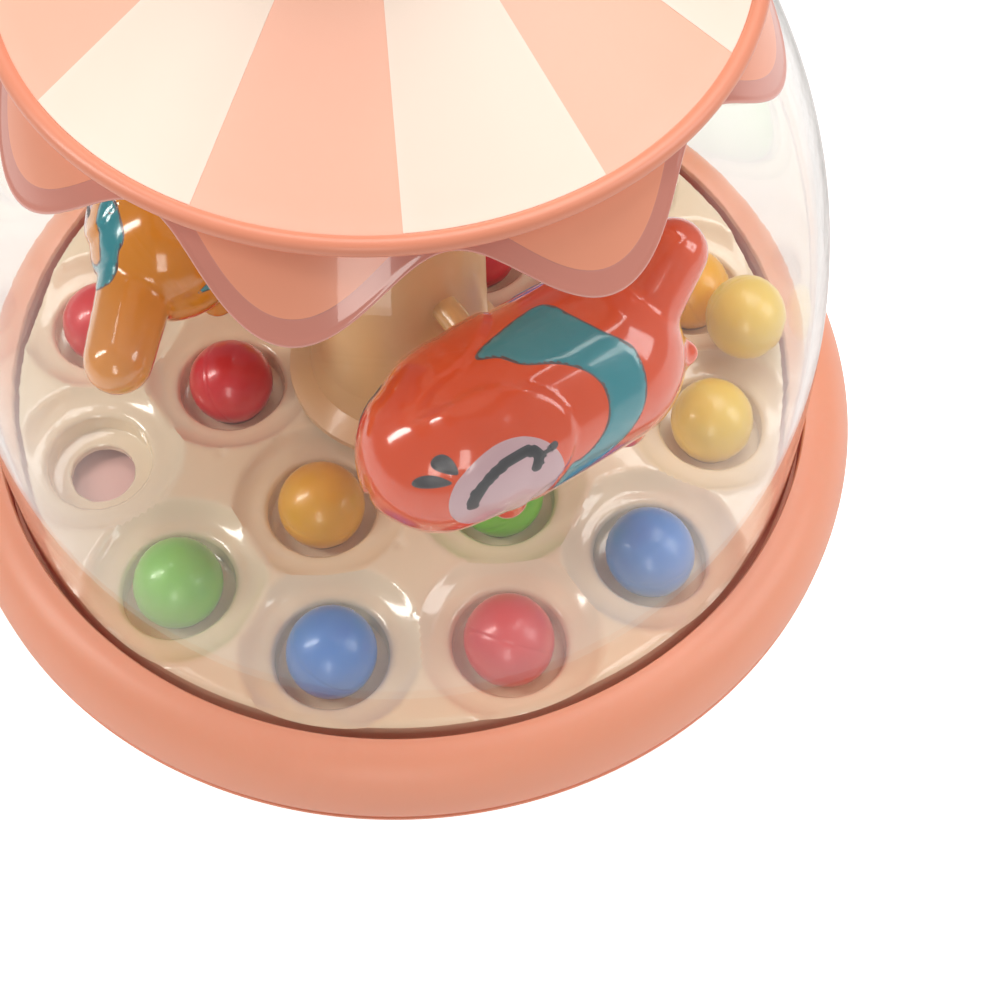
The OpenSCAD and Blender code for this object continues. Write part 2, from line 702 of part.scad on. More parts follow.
module batteries() {
    color("#5a7a52") for (i = [0 : cell_count - 1])
        translate([-cell_len / 2, box_y + (i - (cell_count - 1) / 2) * (2 * cell_r + 0.1), cell_z]) rotate([0, 90, 0]) {
            cylinder(h = cell_len - 0.9, r = cell_r);
            cylinder(h = cell_len, r = 1.9);
        }
}

module battery_contacts() {
    color(steel) for (i = [0 : cell_count - 1]) for (s = [-1, 1])
        translate([s * (cell_len / 2 + 0.25) - 0.2, box_y + (i - (cell_count - 1) / 2) * (2 * cell_r + 0.1) - 3.5, cell_z - 4])
            cube([0.4, 7, 8]);
}

module speaker() {
    color("#2f2f33") translate([speaker_at[0], speaker_at[1], floor_z]) rotate_extrude() polygon([
        [0, 1.5], [speaker_r - 3, 0.6], [speaker_r - 3, 0], [speaker_r, 0], [speaker_r, 1.6],
        [speaker_r - 7, 5], [10, 5], [10, speaker_h], [0, speaker_h]]);
}

module circuit_board() {
    color("#2f7a4f") translate([board_at[0], board_at[1], floor_z + board_lift]) {
        translate([-board_size[0] / 2, -board_size[1] / 2, 0]) cube(board_size);
        translate([-6, -4, board_size[2]]) cube([10, 8, 1.6]);
        translate([12, -6, board_size[2]]) cylinder(h = 5, r = 2.5);
        translate([-16, 5, board_size[2]]) cube([8, 4, 2.2]);
    }
}

module power_switch() {
    color("#2f2f33") translate([switch_at[0], switch_at[1], 0]) {
        translate([-switch_size[0] / 2, -switch_size[1] / 2, tub_z - 1])
            cube([switch_size[0], switch_size[1], base_wall + 1.2]);
        translate([-switch_size[0] / 2 - 2, -switch_size[1] / 2 - 1.5, floor_z + 0.1])
            cube([switch_size[0] + 4, switch_size[1] + 3, 1.6]);
    }
}

module battery_door() {
    color(salmon) difference() {
        door_outline(0, tub_z, door_t);
        translate([0, door_screw_y, 0]) cylinder(h = tub_z + door_t + 1, r = screw_r + 0.15);
    }
}

module door_screw() {
    color(steel) translate([0, door_screw_y, tub_z - door_head_h]) screw(screw_r, screw_head_r, door_head_h, 6.5);
}

// ---- balls ----

module ball_outer(i) {
    // The ball of the empty socket lies loose on the tray's band, between two sockets
    place = i == loose_ball
        ? polar(dome_r - dome_wall - free_gap - ball_r, loose_angle, tray_top_z + ball_r + 0.1)
        : polar(outer_circle_r, outer_angle(i), ball_z);
    color(ball_colours[i % 6]) translate(place) sphere(r = ball_r);
}

module ball_inner(i) {
    color(ball_colours[(i + 2) % 6]) translate(polar(inner_circle_r, inner_angle(i), ball_z)) sphere(r = ball_r);
}

base_tub();
base_ring();
rubber_feet();
base_screws();
ball_tray();
clear_dome();
roof_cone();
roof_panels();
scallop_skirt();
roof_deck();
deck_screws();
top_bush();
axle();
battery_box();
batteries();
battery_contacts();
speaker();
circuit_board();
kicker_disc();
column();
lower_bush();
ratchet_ring();
pony_arms();
pony_orange();
pony_amber();
pony_pink();
mane_orange();
mane_amber();
mane_pink();
knob_cap();
knob_stem();
twist_rod();
return_spring();
drive_nut();
clutch_pawls();
power_switch();
battery_door();
door_screw();
for (i = [1 : outer_count]) ball_outer(i);
for (i = [1 : inner_count]) ball_inner(i);
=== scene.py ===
"""Press-and-spin carousel music box, dressed around its packed mechanical frame."""
import json
import logging
import math
from dataclasses import dataclass, field
from enum import Enum
from typing import Callable, Iterable, Optional, Sequence

import bmesh
import bpy
import numpy as np
from mathutils import Matrix, Vector
from mathutils.bvhtree import BVHTree
from mathutils.geometry import delaunay_2d_cdt


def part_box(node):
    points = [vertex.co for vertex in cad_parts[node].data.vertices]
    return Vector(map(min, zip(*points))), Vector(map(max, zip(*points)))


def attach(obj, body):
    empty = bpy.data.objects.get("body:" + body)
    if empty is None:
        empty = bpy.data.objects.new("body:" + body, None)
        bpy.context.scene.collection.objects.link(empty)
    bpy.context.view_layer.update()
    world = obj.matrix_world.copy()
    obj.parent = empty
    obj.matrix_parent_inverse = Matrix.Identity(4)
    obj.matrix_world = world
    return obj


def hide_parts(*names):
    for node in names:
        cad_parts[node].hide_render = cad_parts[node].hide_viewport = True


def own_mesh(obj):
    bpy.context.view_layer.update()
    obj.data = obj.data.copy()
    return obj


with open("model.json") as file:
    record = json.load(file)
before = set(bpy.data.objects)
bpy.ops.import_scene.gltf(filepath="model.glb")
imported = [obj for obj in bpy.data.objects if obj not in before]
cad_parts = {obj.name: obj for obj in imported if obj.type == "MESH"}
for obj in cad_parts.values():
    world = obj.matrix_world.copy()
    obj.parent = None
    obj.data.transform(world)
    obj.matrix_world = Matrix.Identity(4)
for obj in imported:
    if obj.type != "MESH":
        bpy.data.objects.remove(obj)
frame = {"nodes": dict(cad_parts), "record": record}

log = logging.getLogger("carousel")
MM = 0.001
TAU = 2 * math.pi
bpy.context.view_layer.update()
Point2 = tuple[float, float]
Color = tuple[float, float, float]


def srgb(red: int, green: int, blue: int) -> Color:
    """Turn a colour, 0 to 255, into linear light."""
    return tuple((c / 255 / 12.92) if c <= 10 else ((c / 255 + 0.055) / 1.055) ** 2.4 for c in (red, green, blue))


class Place(Enum):
    """The bodies that pieces ride on."""

    BASE = "base"
    CAROUSEL = "carousel"
    KNOB = "press_knob"
    DOOR = "battery_door"


# ---------------------------------------------------------------- meshes


def make_object(name: str, verts: Iterable, faces: Iterable, sharp: float = 38.0) -> bpy.types.Object:
    """Make a smooth-shaded closed mesh object at the origin.

    Args:
        name: The piece's name.
        verts: Its points, in metres.
        faces: Its faces, as indices.
        sharp: The angle in degrees above which an edge is shaded sharp.

    Returns:
        The new object, linked to the scene.
    """
    mesh = bpy.data.meshes.new(name)
    mesh.from_pydata([tuple(v) for v in verts], [], [tuple(f) for f in faces])
    return link_mesh(name, mesh, sharp)


def link_mesh(name: str, mesh: bpy.types.Mesh, sharp: float = 38.0, merge: float = 1e-6) -> bpy.types.Object:
    """Weld a mesh, turn its faces outwards, shade it and link it.

    Args:
        name: The piece's name.
        mesh: The mesh to finish.
        sharp: The angle in degrees above which an edge is shaded sharp.
        merge: The distance in metres below which points are welded.

    Returns:
        The new object.
    """
    bm = bmesh.new()
    bm.from_mesh(mesh)
    bmesh.ops.remove_doubles(bm, verts=bm.verts, dist=merge)
    bmesh.ops.dissolve_degenerate(bm, edges=bm.edges, dist=merge / 2)
    bmesh.ops.recalc_face_normals(bm, faces=bm.faces)
    bm.to_mesh(mesh)
    bm.free()
    mesh.shade_smooth()
    mesh.set_sharp_from_angle(angle=math.radians(sharp))
    mesh.name = name
    obj = bpy.data.objects.new(name, mesh)
    bpy.context.scene.collection.objects.link(obj)
    return obj


def turn_profile(profile: Sequence[Point2], segments: int = 224, closed: bool = True) -> tuple[list, list]:
    """Turn a profile of (radius, height) round the Z axis.

    Args:
        profile: The profile's points, in metres.
        segments: How many steps the full turn has.
        closed: Whether the profile's last point joins its first.

    Returns:
        The points and the faces.
    """
    turn = [(math.cos(TAU * k / segments), math.sin(TAU * k / segments)) for k in range(segments)]
    verts: list = []
    rows: list = []
    for r, z in profile:
        if r < 1e-7:
            rows.append([len(verts)] * segments)
            verts.append((0.0, 0.0, z))
        else:
            rows.append(range(len(verts), len(verts) + segments))
            verts += [(r * c, r * s, z) for c, s in turn]
    faces = []
    for i in range(len(rows) if closed else len(rows) - 1):
        a, b = rows[i], rows[(i + 1) % len(rows)]
        for k in range(segments):
            m = (k + 1) % segments
            quad = list(dict.fromkeys((a[k], a[m], b[m], b[k])))
            if len(quad) > 2:
                faces.append(quad)
    return verts, faces


def lathe(
    name: str, profile: Sequence[Point2], segments: int = 224, closed: bool = True, sharp: float = 38.0
) -> bpy.types.Object:
    """Make a turned piece. See turn_profile and make_object for the arguments."""
    return make_object(name, *turn_profile(profile, segments, closed), sharp)


def rounded(corners: Sequence[tuple[float, float, float]], steps: int = 6) -> list[Point2]:
    """Round the corners of a closed outline.

    Args:
        corners: Each corner's two places and its fillet radius.
        steps: How many steps a fillet has.

    Returns:
        The outline's points.
    """
    out: list[Point2] = []
    count = len(corners)
    for i, (x, y, radius) in enumerate(corners):
        here = Vector((x, y))
        back = Vector(corners[i - 1][:2]) - here
        ahead = Vector(corners[(i + 1) % count][:2]) - here
        if radius <= 0 or back.length < 1e-9 or ahead.length < 1e-9:
            out.append((x, y))
            continue
        half = back.angle(ahead) / 2
        if half > math.radians(88):
            out.append((x, y))
            continue
        reach = min(radius / math.tan(half), back.length * 0.49, ahead.length * 0.49)
        fillet = reach * math.tan(half)
        first, last = here + back.normalized() * reach, here + ahead.normalized() * reach
        centre = here + (back.normalized() + ahead.normalized()).normalized() * (fillet / math.sin(half))
        spoke, end = first - centre, last - centre
        sweep = math.atan2(spoke.x * end.y - spoke.y * end.x, spoke.dot(end))
        for k in range(steps + 1):
            a = sweep * k / steps
            c, s = math.cos(a), math.sin(a)
            out.append((centre.x + spoke.x * c - spoke.y * s, centre.y + spoke.x * s + spoke.y * c))
    return out


def arc(cr: float, cz: float, rr: float, rz: float, start: float, end: float, steps: int) -> list[Point2]:
    """Points along an ellipse's arc about (cr, cz), from one angle in degrees to another.

    Args:
        cr: The centre's first place.
        cz: The centre's second place.
        rr: The half width along the first place.
        rz: The half width along the second place.
        start: Where it starts, in degrees.
        end: Where it ends, in degrees.
        steps: How many steps it has.

    Returns:
        The arc's points.
    """
    return [
        (
            cr + rr * math.cos(math.radians(start + (end - start) * i / steps)),
            cz + rz * math.sin(math.radians(start + (end - start) * i / steps))
        )
        for i in range(steps + 1)
    ]


def circle(radius: float, steps: int, centre: Point2 = (0.0, 0.0)) -> np.ndarray:
    """Points round a circle in the plane."""
    turn = TAU * np.arange(steps) / steps
    return np.stack([centre[0] + radius * np.cos(turn), centre[1] + radius * np.sin(turn)], axis=1)


def inside(points: np.ndarray, outline: np.ndarray) -> np.ndarray:
    """Tell which points lie inside a closed outline.

    Args:
        points: The points to test.
        outline: The closed outline.

    Returns:
        Whether each point lies inside.
    """
    x, y = points[:, 0][:, None], points[:, 1][:, None]
    ax, ay = outline[:, 0], outline[:, 1]
    bx, by = np.roll(ax, -1), np.roll(ay, -1)
    crosses = (ay > y) != (by > y)
    rise = np.where(by == ay, 1e-12, by - ay)
    return (np.sum(crosses & (x < (bx - ax) * (y - ay) / rise + ax), axis=1) % 2) == 1


def hex_points(low: Point2, high: Point2, step: float) -> np.ndarray:
    """A hexagonal lattice of points that fills a box.

    Args:
        low: The box's low corner.
        high: The box's high corner.
        step: The distance between neighbours.

    Returns:
        The lattice's points.
    """
    rows = int((high[1] - low[1]) / (step * 0.866)) + 2
    cols = int((high[0] - low[0]) / step) + 2
    return np.array(
        [(low[0] + (i + 0.5 * (j % 2)) * step, low[1] + j * step * 0.866) for j in range(rows) for i in range(cols)]
    )


def fill_loops(
    loops: Sequence[np.ndarray], extra: np.ndarray, keep: Callable[[np.ndarray], np.ndarray]
) -> tuple[np.ndarray, list]:
    """Fill the flat region between closed loops with triangles.

    Args:
        loops: The closed loops, each an array of points.
        extra: Points inside the region.
        keep: Tells which of an array of triangle centres lie in the region.

    Returns:
        The points and the triangles.
    """
    points, edges = [], []
    for loop in loops:
        first = len(points)
        points += [Vector(p) for p in loop]
        edges += [(first + i, first + (i + 1) % len(loop)) for i in range(len(loop))]
    points += [Vector(p) for p in extra]
    verts, _, faces, *_ = delaunay_2d_cdt(points, edges, [], 0, 1e-7)
    flat = np.array([tuple(v) for v in verts])
    tris = np.array([f for f in faces if len(f) == 3])
    return flat, tris[keep(flat[tris].mean(axis=1))].tolist()


def resample(outline: Sequence[Point2], count: int) -> np.ndarray:
    """Points spaced evenly along a smooth closed curve through the given ones.

    Args:
        outline: The points that the curve passes through.
        count: How many points to space.

    Returns:
        The spaced points.
    """
    knots = np.array(outline, float)
    n = len(knots)
    dense = []
    for i in range(n):
        p0, p1, p2, p3 = (knots[(i + k) % n] for k in (-1, 0, 1, 2))
        bend, twist = 2 * p0 - 5 * p1 + 4 * p2 - p3, 3 * p1 - p0 - 3 * p2 + p3
        dense += [0.5 * (2 * p1 + (p2 - p0) * t + bend * t**2 + twist * t**3)
                  for t in np.linspace(0, 1, 24, endpoint=False)]
    dense = np.array(dense + [dense[0]])
    along = np.concatenate([[0], np.cumsum(np.linalg.norm(np.diff(dense, axis=0), axis=1))])
    at = np.linspace(0, along[-1], count, endpoint=False)
    return np.stack([np.interp(at, along, dense[:, k]) for k in (0, 1)], axis=1)


def record_slot(node: str) -> str:
    """The material slot that the record gives a node."""
    return next(part["material_slot"] for part in frame["record"]["subparts"] if part["node"] == node)


def dress(obj: bpy.types.Object, finish: "Finish", place: "Place | str", slot: str, *nodes: str) -> bpy.types.Object:
    """Give a new piece its finish, its body and the nodes it stands for.

    Args:
        obj: The piece.
        finish: Its finish.
        place: The body it rides on.
        slot: The record's material slot; not used.
        nodes: The CAD nodes it replaces.

    Returns:
        The same piece.
    """
    body = place.value if isinstance(place, Place) else place
    if not obj.data.materials:
        obj.data.materials.append(finish.material())
    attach(obj, body)
    if nodes:
        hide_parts(*nodes)
    log.info("built %s on %s", obj.name, body)
    return obj


def dress_node(name: str, finish: "Finish") -> None:
    """Give a carried-over CAD node a finish.

    Args:
        name: The node's name.
        finish: The finish that dresses it.
    """
    obj = frame["nodes"][name]
    if not obj.material_slots:
        raise ValueError(f"{name} has no material slot")
    for place in obj.material_slots:
        place.material = finish.material()
    log.info("dressed %s", name)


# ---------------------------------------------------------------- shader groups


def add_node(tree: bpy.types.NodeTree, kind: str, inputs: Optional[dict] = None, **facts: object) -> bpy.types.Node:
    """Add a node, set its properties, and set or link its inputs.

    Args:
        tree: The tree it goes into.
        kind: The node's type name.
        inputs: Values or sockets by input name or index.
        facts: The node's own properties.

    Returns:
        The new node.
    """
    made = tree.nodes.new(kind)
    for key, value in facts.items():
        setattr(made, key, value)
    connect(tree, made, inputs or {})
    return made


def connect(tree: bpy.types.NodeTree, node: bpy.types.Node, inputs: dict) -> None:
    """Set or link a node's inputs by name or index.

    Args:
        tree: The node tree to work in.
        node: The node to wire.
        inputs: Values or sockets by input name or index.
    """
    for key, value in inputs.items():
        if isinstance(value, bpy.types.NodeSocket):
            tree.links.new(value, node.inputs[key])
        else:
            node.inputs[key].default_value = value


def math_node(tree: bpy.types.NodeTree, operation: str, *values: object, clamp: bool = False) -> bpy.types.NodeSocket:
    """Add a Math node and return its output."""
    return add_node(tree, "ShaderNodeMath", dict(enumerate(values)), operation=operation, use_clamp=clamp).outputs[0]


def noise(
    tree: bpy.types.NodeTree, where: bpy.types.NodeSocket, scale: object, detail: float, **more: float
) -> bpy.types.NodeSocket:
    """Add a Noise Texture and return its factor."""
    values = {"Vector": where, "Scale": scale, "Detail": detail, **more}
    return add_node(tree, "ShaderNodeTexNoise", values).outputs["Fac"]


def here(tree: bpy.types.NodeTree) -> bpy.types.NodeSocket:
    """Add Object coordinates and return their socket."""
    return add_node(tree, "ShaderNodeTexCoord").outputs["Object"]


def map_range(tree: bpy.types.NodeTree, value: bpy.types.NodeSocket, low: float, high: float) -> bpy.types.NodeSocket:
    """Add a Map Range node from low and high to 0 and 1, and return its output."""
    return add_node(tree, "ShaderNodeMapRange", {"Value": value, "From Min": low, "From Max": high}).outputs[0]


def mix_colors(
    tree: bpy.types.NodeTree, factor: object, a: object, b: object, blend: str = "MIX"
) -> bpy.types.NodeSocket:
    """Add a colour Mix node and return its output."""
    return add_node(
        tree, "ShaderNodeMix", {0: factor, 6: a, 7: b}, data_type="RGBA", blend_type=blend, clamp_factor=True
    ).outputs[2]


class Skin(Enum):
    """The shader groups that finishes share."""

    MOULDED = "moulded_skin"
    RUBBED = "rubbed_edges"
    BRUSHED = "brushed_metal"
    DUST = "settled_dust"


FLOAT = "NodeSocketFloat"
TINT = "NodeSocketColor"
COLOR_IN = ("Color", TINT, (1, 1, 1, 1))


def new_group(skin: Skin, inputs: Sequence[tuple[str, str, object]], outputs: Sequence[tuple[str, str]]) -> tuple:
    """Start a shader group with named sockets.

    Args:
        skin: Which group it is.
        inputs: Each input's name, socket type and default.
        outputs: Each output's name and socket type.

    Returns:
        The tree, its input node and its output node.
    """
    tree = bpy.data.node_groups.new(skin.value, "ShaderNodeTree")
    for name, kind, value in inputs:
        socket = tree.interface.new_socket(name, in_out="INPUT", socket_type=kind)
        socket.default_value = value
    for name, kind in outputs:
        tree.interface.new_socket(name, in_out="OUTPUT", socket_type=kind)
    return tree, tree.nodes.new("NodeGroupInput"), tree.nodes.new("NodeGroupOutput")


def moulded_skin() -> bpy.types.NodeTree:
    """Plastic from a polished mould: slow swirls in its colour, and a fine orange-peel grain.

    Returns:
        The group.
    """
    tree, enter, leave = new_group(
        Skin.MOULDED,
        [COLOR_IN, ("Swirl", FLOAT, 0.05), ("Grain", FLOAT, 900.0),
         ("Roughness", FLOAT, 0.3), ("Uneven", FLOAT, 0.08)],
        [("Color", TINT), ("Roughness", FLOAT), ("Height", FLOAT)],
    )
    where = here(tree)
    slow = noise(tree, where, 28.0, 3.0, Distortion=1.4)
    fine = noise(tree, where, enter.outputs["Grain"], 2.0)
    blotch = noise(tree, where, 140.0, 4.0)
    swing = math_node(tree, "MULTIPLY", math_node(tree, "SUBTRACT", slow, 0.5), enter.outputs["Swirl"])
    shade = math_node(tree, "ADD", 1.0, math_node(tree, "MULTIPLY", swing, 2.0))
    tint = add_node(tree, "ShaderNodeCombineColor", {0: shade, 1: shade, 2: shade})
    color = mix_colors(tree, 1.0, enter.outputs["Color"], tint.outputs[0], "MULTIPLY")
    uneven = math_node(tree, "MULTIPLY", math_node(tree, "SUBTRACT", blotch, 0.5), enter.outputs["Uneven"])
    rough = math_node(tree, "ADD", enter.outputs["Roughness"], uneven, clamp=True)
    height = math_node(tree, "ADD", fine, math_node(tree, "MULTIPLY", blotch, 0.6))
    for socket, name in ((color, "Color"), (rough, "Roughness"), (height, "Height")):
        tree.links.new(socket, leave.inputs[name])
    return tree


def rubbed_edges() -> bpy.types.NodeTree:
    """Edges that hands have rubbed a little paler and duller.

    Returns:
        The group.
    """
    tree, enter, leave = new_group(
        Skin.RUBBED,
        [COLOR_IN, ("Rubbed Color", TINT, (1, 1, 1, 1)), ("Amount", FLOAT, 0.3),
         ("Roughness", FLOAT, 0.3)],
        [("Color", TINT), ("Roughness", FLOAT)],
    )
    where = here(tree)
    edge = add_node(tree, "ShaderNodeNewGeometry").outputs["Pointiness"]
    sharp = map_range(tree, edge, 0.515, 0.6)
    patchy = noise(tree, where, 220.0, 5.0)
    worn = math_node(tree, "MULTIPLY", math_node(tree, "MULTIPLY", sharp, patchy), enter.outputs["Amount"], clamp=True)
    color = mix_colors(tree, worn, enter.outputs["Color"], enter.outputs["Rubbed Color"])
    rough = math_node(tree, "ADD", enter.outputs["Roughness"], math_node(tree, "MULTIPLY", worn, 0.3), clamp=True)
    tree.links.new(color, leave.inputs["Color"])
    tree.links.new(rough, leave.inputs["Roughness"])
    return tree


def brushed_metal() -> bpy.types.NodeTree:
    """Fine turning or drawing lines, with small stains.

    Returns:
        The group.
    """
    tree, enter, leave = new_group(
        Skin.BRUSHED,
        [
            ("Color", TINT, (0.7, 0.7, 0.7, 1)), ("Lines", "NodeSocketVector", (200.0, 200.0, 4000.0)),
            ("Roughness", FLOAT, 0.3)
        ],
        [("Color", TINT), ("Roughness", FLOAT), ("Height", FLOAT)],
    )
    where = here(tree)
    stretched = add_node(tree, "ShaderNodeMapping", {"Vector": where, "Scale": enter.outputs["Lines"]}).outputs[0]
    lines = noise(tree, stretched, 1.0, 3.0)
    stain = noise(tree, where, 160.0, 5.0)
    darker = mix_colors(tree, 1.0, enter.outputs["Color"], (0.62, 0.60, 0.58, 1), "MULTIPLY")
    color = mix_colors(tree, math_node(tree, "MULTIPLY", stain, 0.5), enter.outputs["Color"], darker)
    swing = math_node(tree, "MULTIPLY", math_node(tree, "SUBTRACT", lines, 0.5), 0.25)
    tree.links.new(color, leave.inputs["Color"])
    tree.links.new(math_node(tree, "ADD", enter.outputs["Roughness"], swing, clamp=True), leave.inputs["Roughness"])
    tree.links.new(lines, leave.inputs["Height"])
    return tree


def settled_dust() -> bpy.types.NodeTree:
    """A breath of dust on what faces up.

    Returns:
        The group.
    """
    tree, enter, leave = new_group(
        Skin.DUST,
        [COLOR_IN, ("Amount", FLOAT, 0.05)],
        [("Color", TINT)],
    )
    where = here(tree)
    up = add_node(
        tree, "ShaderNodeSeparateXYZ", {0: add_node(tree, "ShaderNodeNewGeometry").outputs["Normal"]}
    ).outputs[2]
    facing = map_range(tree, up, 0.2, 1.0)
    specks = noise(tree, where, 420.0, 8.0, Roughness=0.75)
    bare = map_range(tree, specks, 0.5, 0.75)
    lies = math_node(tree, "MULTIPLY", math_node(tree, "MULTIPLY", facing, bare), enter.outputs["Amount"], clamp=True)
    tree.links.new(mix_colors(tree, lies, enter.outputs["Color"], (0.80, 0.77, 0.72, 1)), leave.inputs["Color"])
    return tree


BUILDERS = {Skin.MOULDED: moulded_skin, Skin.RUBBED: rubbed_edges, Skin.BRUSHED: brushed_metal, Skin.DUST: settled_dust}


def place_group(tree: bpy.types.NodeTree, skin: Skin, inputs: dict) -> bpy.types.Node:
    """Place a shared shader group in a material, building it the first time.

    Args:
        tree: The material's node tree.
        skin: Which group to place.
        inputs: Values or sockets by input name.

    Returns:
        The group's node in the material.
    """
    group = bpy.data.node_groups.get(skin.value) or BUILDERS[skin]()
    made = add_node(tree, "ShaderNodeGroup", node_tree=group)
    connect(tree, made, inputs)
    return made


def rub_edges(tree: bpy.types.NodeTree, skin: bpy.types.Node, pale: Color, amount: float) -> bpy.types.Node:
    """Rub the edges of a placed skin towards a paler colour.

    Args:
        tree: The node tree to work in.
        skin: Which group to place.
        pale: The colour of a rubbed edge.
        amount: How much is rubbed.

    Returns:
        The group's node.
    """
    return place_group(tree, Skin.RUBBED, {
        "Color": skin.outputs["Color"], "Rubbed Color": opaque(pale), "Amount": amount,
        "Roughness": skin.outputs["Roughness"],
    })


def add_bump(
    tree: bpy.types.NodeTree, shader: bpy.types.Node, height: bpy.types.NodeSocket, strength: float, depth: float
) -> None:
    """Raise a height, with its depth in mm, into a shader's normal."""
    bump = add_node(tree, "ShaderNodeBump", {"Height": height, "Strength": strength, "Distance": depth * MM})
    tree.links.new(bump.outputs["Normal"], shader.inputs["Normal"])


def opaque(color: Color) -> tuple[float, float, float, float]:
    """A colour with full alpha."""
    return (*color, 1.0)


# ---------------------------------------------------------------- finishes


@dataclass(frozen=True)
class Finish:
    """A named finish that makes its material once."""

    name: str
    color: Color

    def material(self) -> bpy.types.Material:
        """Make the finish's material, or return it where it is already made.

        Returns:
            The finish's material.
        """
        known = bpy.data.materials.get(self.name)
        if known:
            return known
        made = bpy.data.materials.new(self.name)
        made.use_nodes = True
        made.diffuse_color = opaque(self.color)
        tree = made.node_tree
        shader = next(n for n in tree.nodes if n.type == "BSDF_PRINCIPLED")
        self.fill(tree, shader)
        return made

    def fill(self, tree: bpy.types.NodeTree, shader: bpy.types.Node) -> None:
        """Wire the finish's nodes into its Principled shader."""
        raise NotImplementedError


@dataclass(frozen=True)
class MouldedFinish(Finish):
    """Moulded plastic."""

    roughness: float = 0.32
    coat: float = 0.0
    coat_roughness: float = 0.08
    swirl: float = 0.05
    grain: float = 1500.0
    depth: float = 0.02
    rub: float = 0.25
    dust: float = 0.0
    soft: float = 0.0

    def fill(self, tree: bpy.types.NodeTree, shader: bpy.types.Node) -> None:
        """Wire grain, rubbed edges and dust into the shader.

        Args:
            tree: The node tree to work in.
            shader: The material's Principled shader.
        """
        skin = place_group(
            tree, Skin.MOULDED,
            {"Color": opaque(self.color), "Swirl": self.swirl, "Grain": self.grain, "Roughness": self.roughness}
        )
        pale = tuple(0.55 * c + 0.45 for c in self.color)
        edge = rub_edges(tree, skin, pale, self.rub)
        color = edge.outputs["Color"]
        if self.dust:
            color = place_group(tree, Skin.DUST, {"Color": color, "Amount": self.dust}).outputs["Color"]
        tree.links.new(color, shader.inputs["Base Color"])
        tree.links.new(edge.outputs["Roughness"], shader.inputs["Roughness"])
        add_bump(tree, shader, skin.outputs["Height"], self.depth * 4, self.depth)
        shader.inputs["Coat Weight"].default_value = self.coat
        shader.inputs["Coat Roughness"].default_value = self.coat_roughness
        shader.inputs["IOR"].default_value = 1.5
        if self.soft:
            shader.inputs["Subsurface Weight"].default_value = self.soft
            shader.inputs["Subsurface Radius"].default_value = tuple(max(0.15, c) for c in self.color)
            shader.inputs["Subsurface Scale"].default_value = 2.2 * MM


@dataclass(frozen=True)
class ClearFinish(Finish):
    """Clear moulded plastic that lets light through to what it covers."""

    roughness: float = 0.012
    ior: float = 1.32

    def fill(self, tree: bpy.types.NodeTree, shader: bpy.types.Node) -> None:
        """Wire faint ripples and a light-passing shadow into the shader.

        Args:
            tree: The node tree to work in.
            shader: The material's Principled shader.
        """
        skin = place_group(
            tree, Skin.MOULDED,
            {"Color": opaque(self.color), "Swirl": 0.01, "Grain": 60.0, "Roughness": self.roughness, "Uneven": 0.01}
        )
        tree.links.new(skin.outputs["Color"], shader.inputs["Base Color"])
        tree.links.new(skin.outputs["Roughness"], shader.inputs["Roughness"])
        add_bump(tree, shader, skin.outputs["Height"], 0.03, 0.4)
        shader.inputs["Transmission Weight"].default_value = 1.0
        shader.inputs["IOR"].default_value = self.ior
        ray = add_node(tree, "ShaderNodeLightPath")
        passing = add_node(
            tree, "ShaderNodeBsdfTransparent", {"Color": opaque(tuple(0.5 + 0.5 * c for c in self.color))}
        )
        shaded = math_node(tree, "MAXIMUM", ray.outputs["Is Shadow Ray"], ray.outputs["Is Diffuse Ray"])
        mixed = add_node(tree, "ShaderNodeMixShader", {0: shaded, 1: shader.outputs[0], 2: passing.outputs[0]})
        out = next(n for n in tree.nodes if n.type == "OUTPUT_MATERIAL")
        tree.links.new(mixed.outputs[0], out.inputs["Surface"])


@dataclass(frozen=True)
class MetalFinish(Finish):
    """Turned or drawn metal."""

    roughness: float = 0.3
    lines: tuple[float, float, float] = (220.0, 220.0, 3800.0)

    def fill(self, tree: bpy.types.NodeTree, shader: bpy.types.Node) -> None:
        """Wire the metal's lines and rubbed edges into the shader.

        Args:
            tree: The node tree to work in.
            shader: The material's Principled shader.
        """
        skin = place_group(
            tree, Skin.BRUSHED, {"Color": opaque(self.color), "Lines": self.lines, "Roughness": self.roughness}
        )
        edge = rub_edges(tree, skin, (0.9, 0.9, 0.9), 0.6)
        tree.links.new(edge.outputs["Color"], shader.inputs["Base Color"])
        tree.links.new(edge.outputs["Roughness"], shader.inputs["Roughness"])
        add_bump(tree, shader, skin.outputs["Height"], 0.15, 0.02)
        shader.inputs["Metallic"].default_value = 1.0


@dataclass(frozen=True)
class BandedFinish(Finish):
    """A printed sleeve: one colour with a band of another along X or round Z."""

    second: Color = (0.1, 0.1, 0.1)
    pitch: float = 60.0
    axis: int = 0

    def fill(self, tree: bpy.types.NodeTree, shader: bpy.types.Node) -> None:
        """Wire the bands and the sleeve's grain into the shader.

        Args:
            tree: The node tree to work in.
            shader: The material's Principled shader.
        """
        where = here(tree)
        along = add_node(tree, "ShaderNodeSeparateXYZ", {0: where}).outputs[self.axis]
        wave = math_node(tree, "SINE", math_node(tree, "MULTIPLY", along, self.pitch * TAU))
        band = math_node(tree, "GREATER_THAN", wave, 0.72)
        both = mix_colors(tree, band, opaque(self.color), opaque(self.second))
        skin = place_group(tree, Skin.MOULDED, {"Color": both, "Swirl": 0.04, "Grain": 1800.0, "Roughness": 0.3})
        tree.links.new(skin.outputs["Color"], shader.inputs["Base Color"])
        tree.links.new(skin.outputs["Roughness"], shader.inputs["Roughness"])
        add_bump(tree, shader, skin.outputs["Height"], 0.1, 0.02)


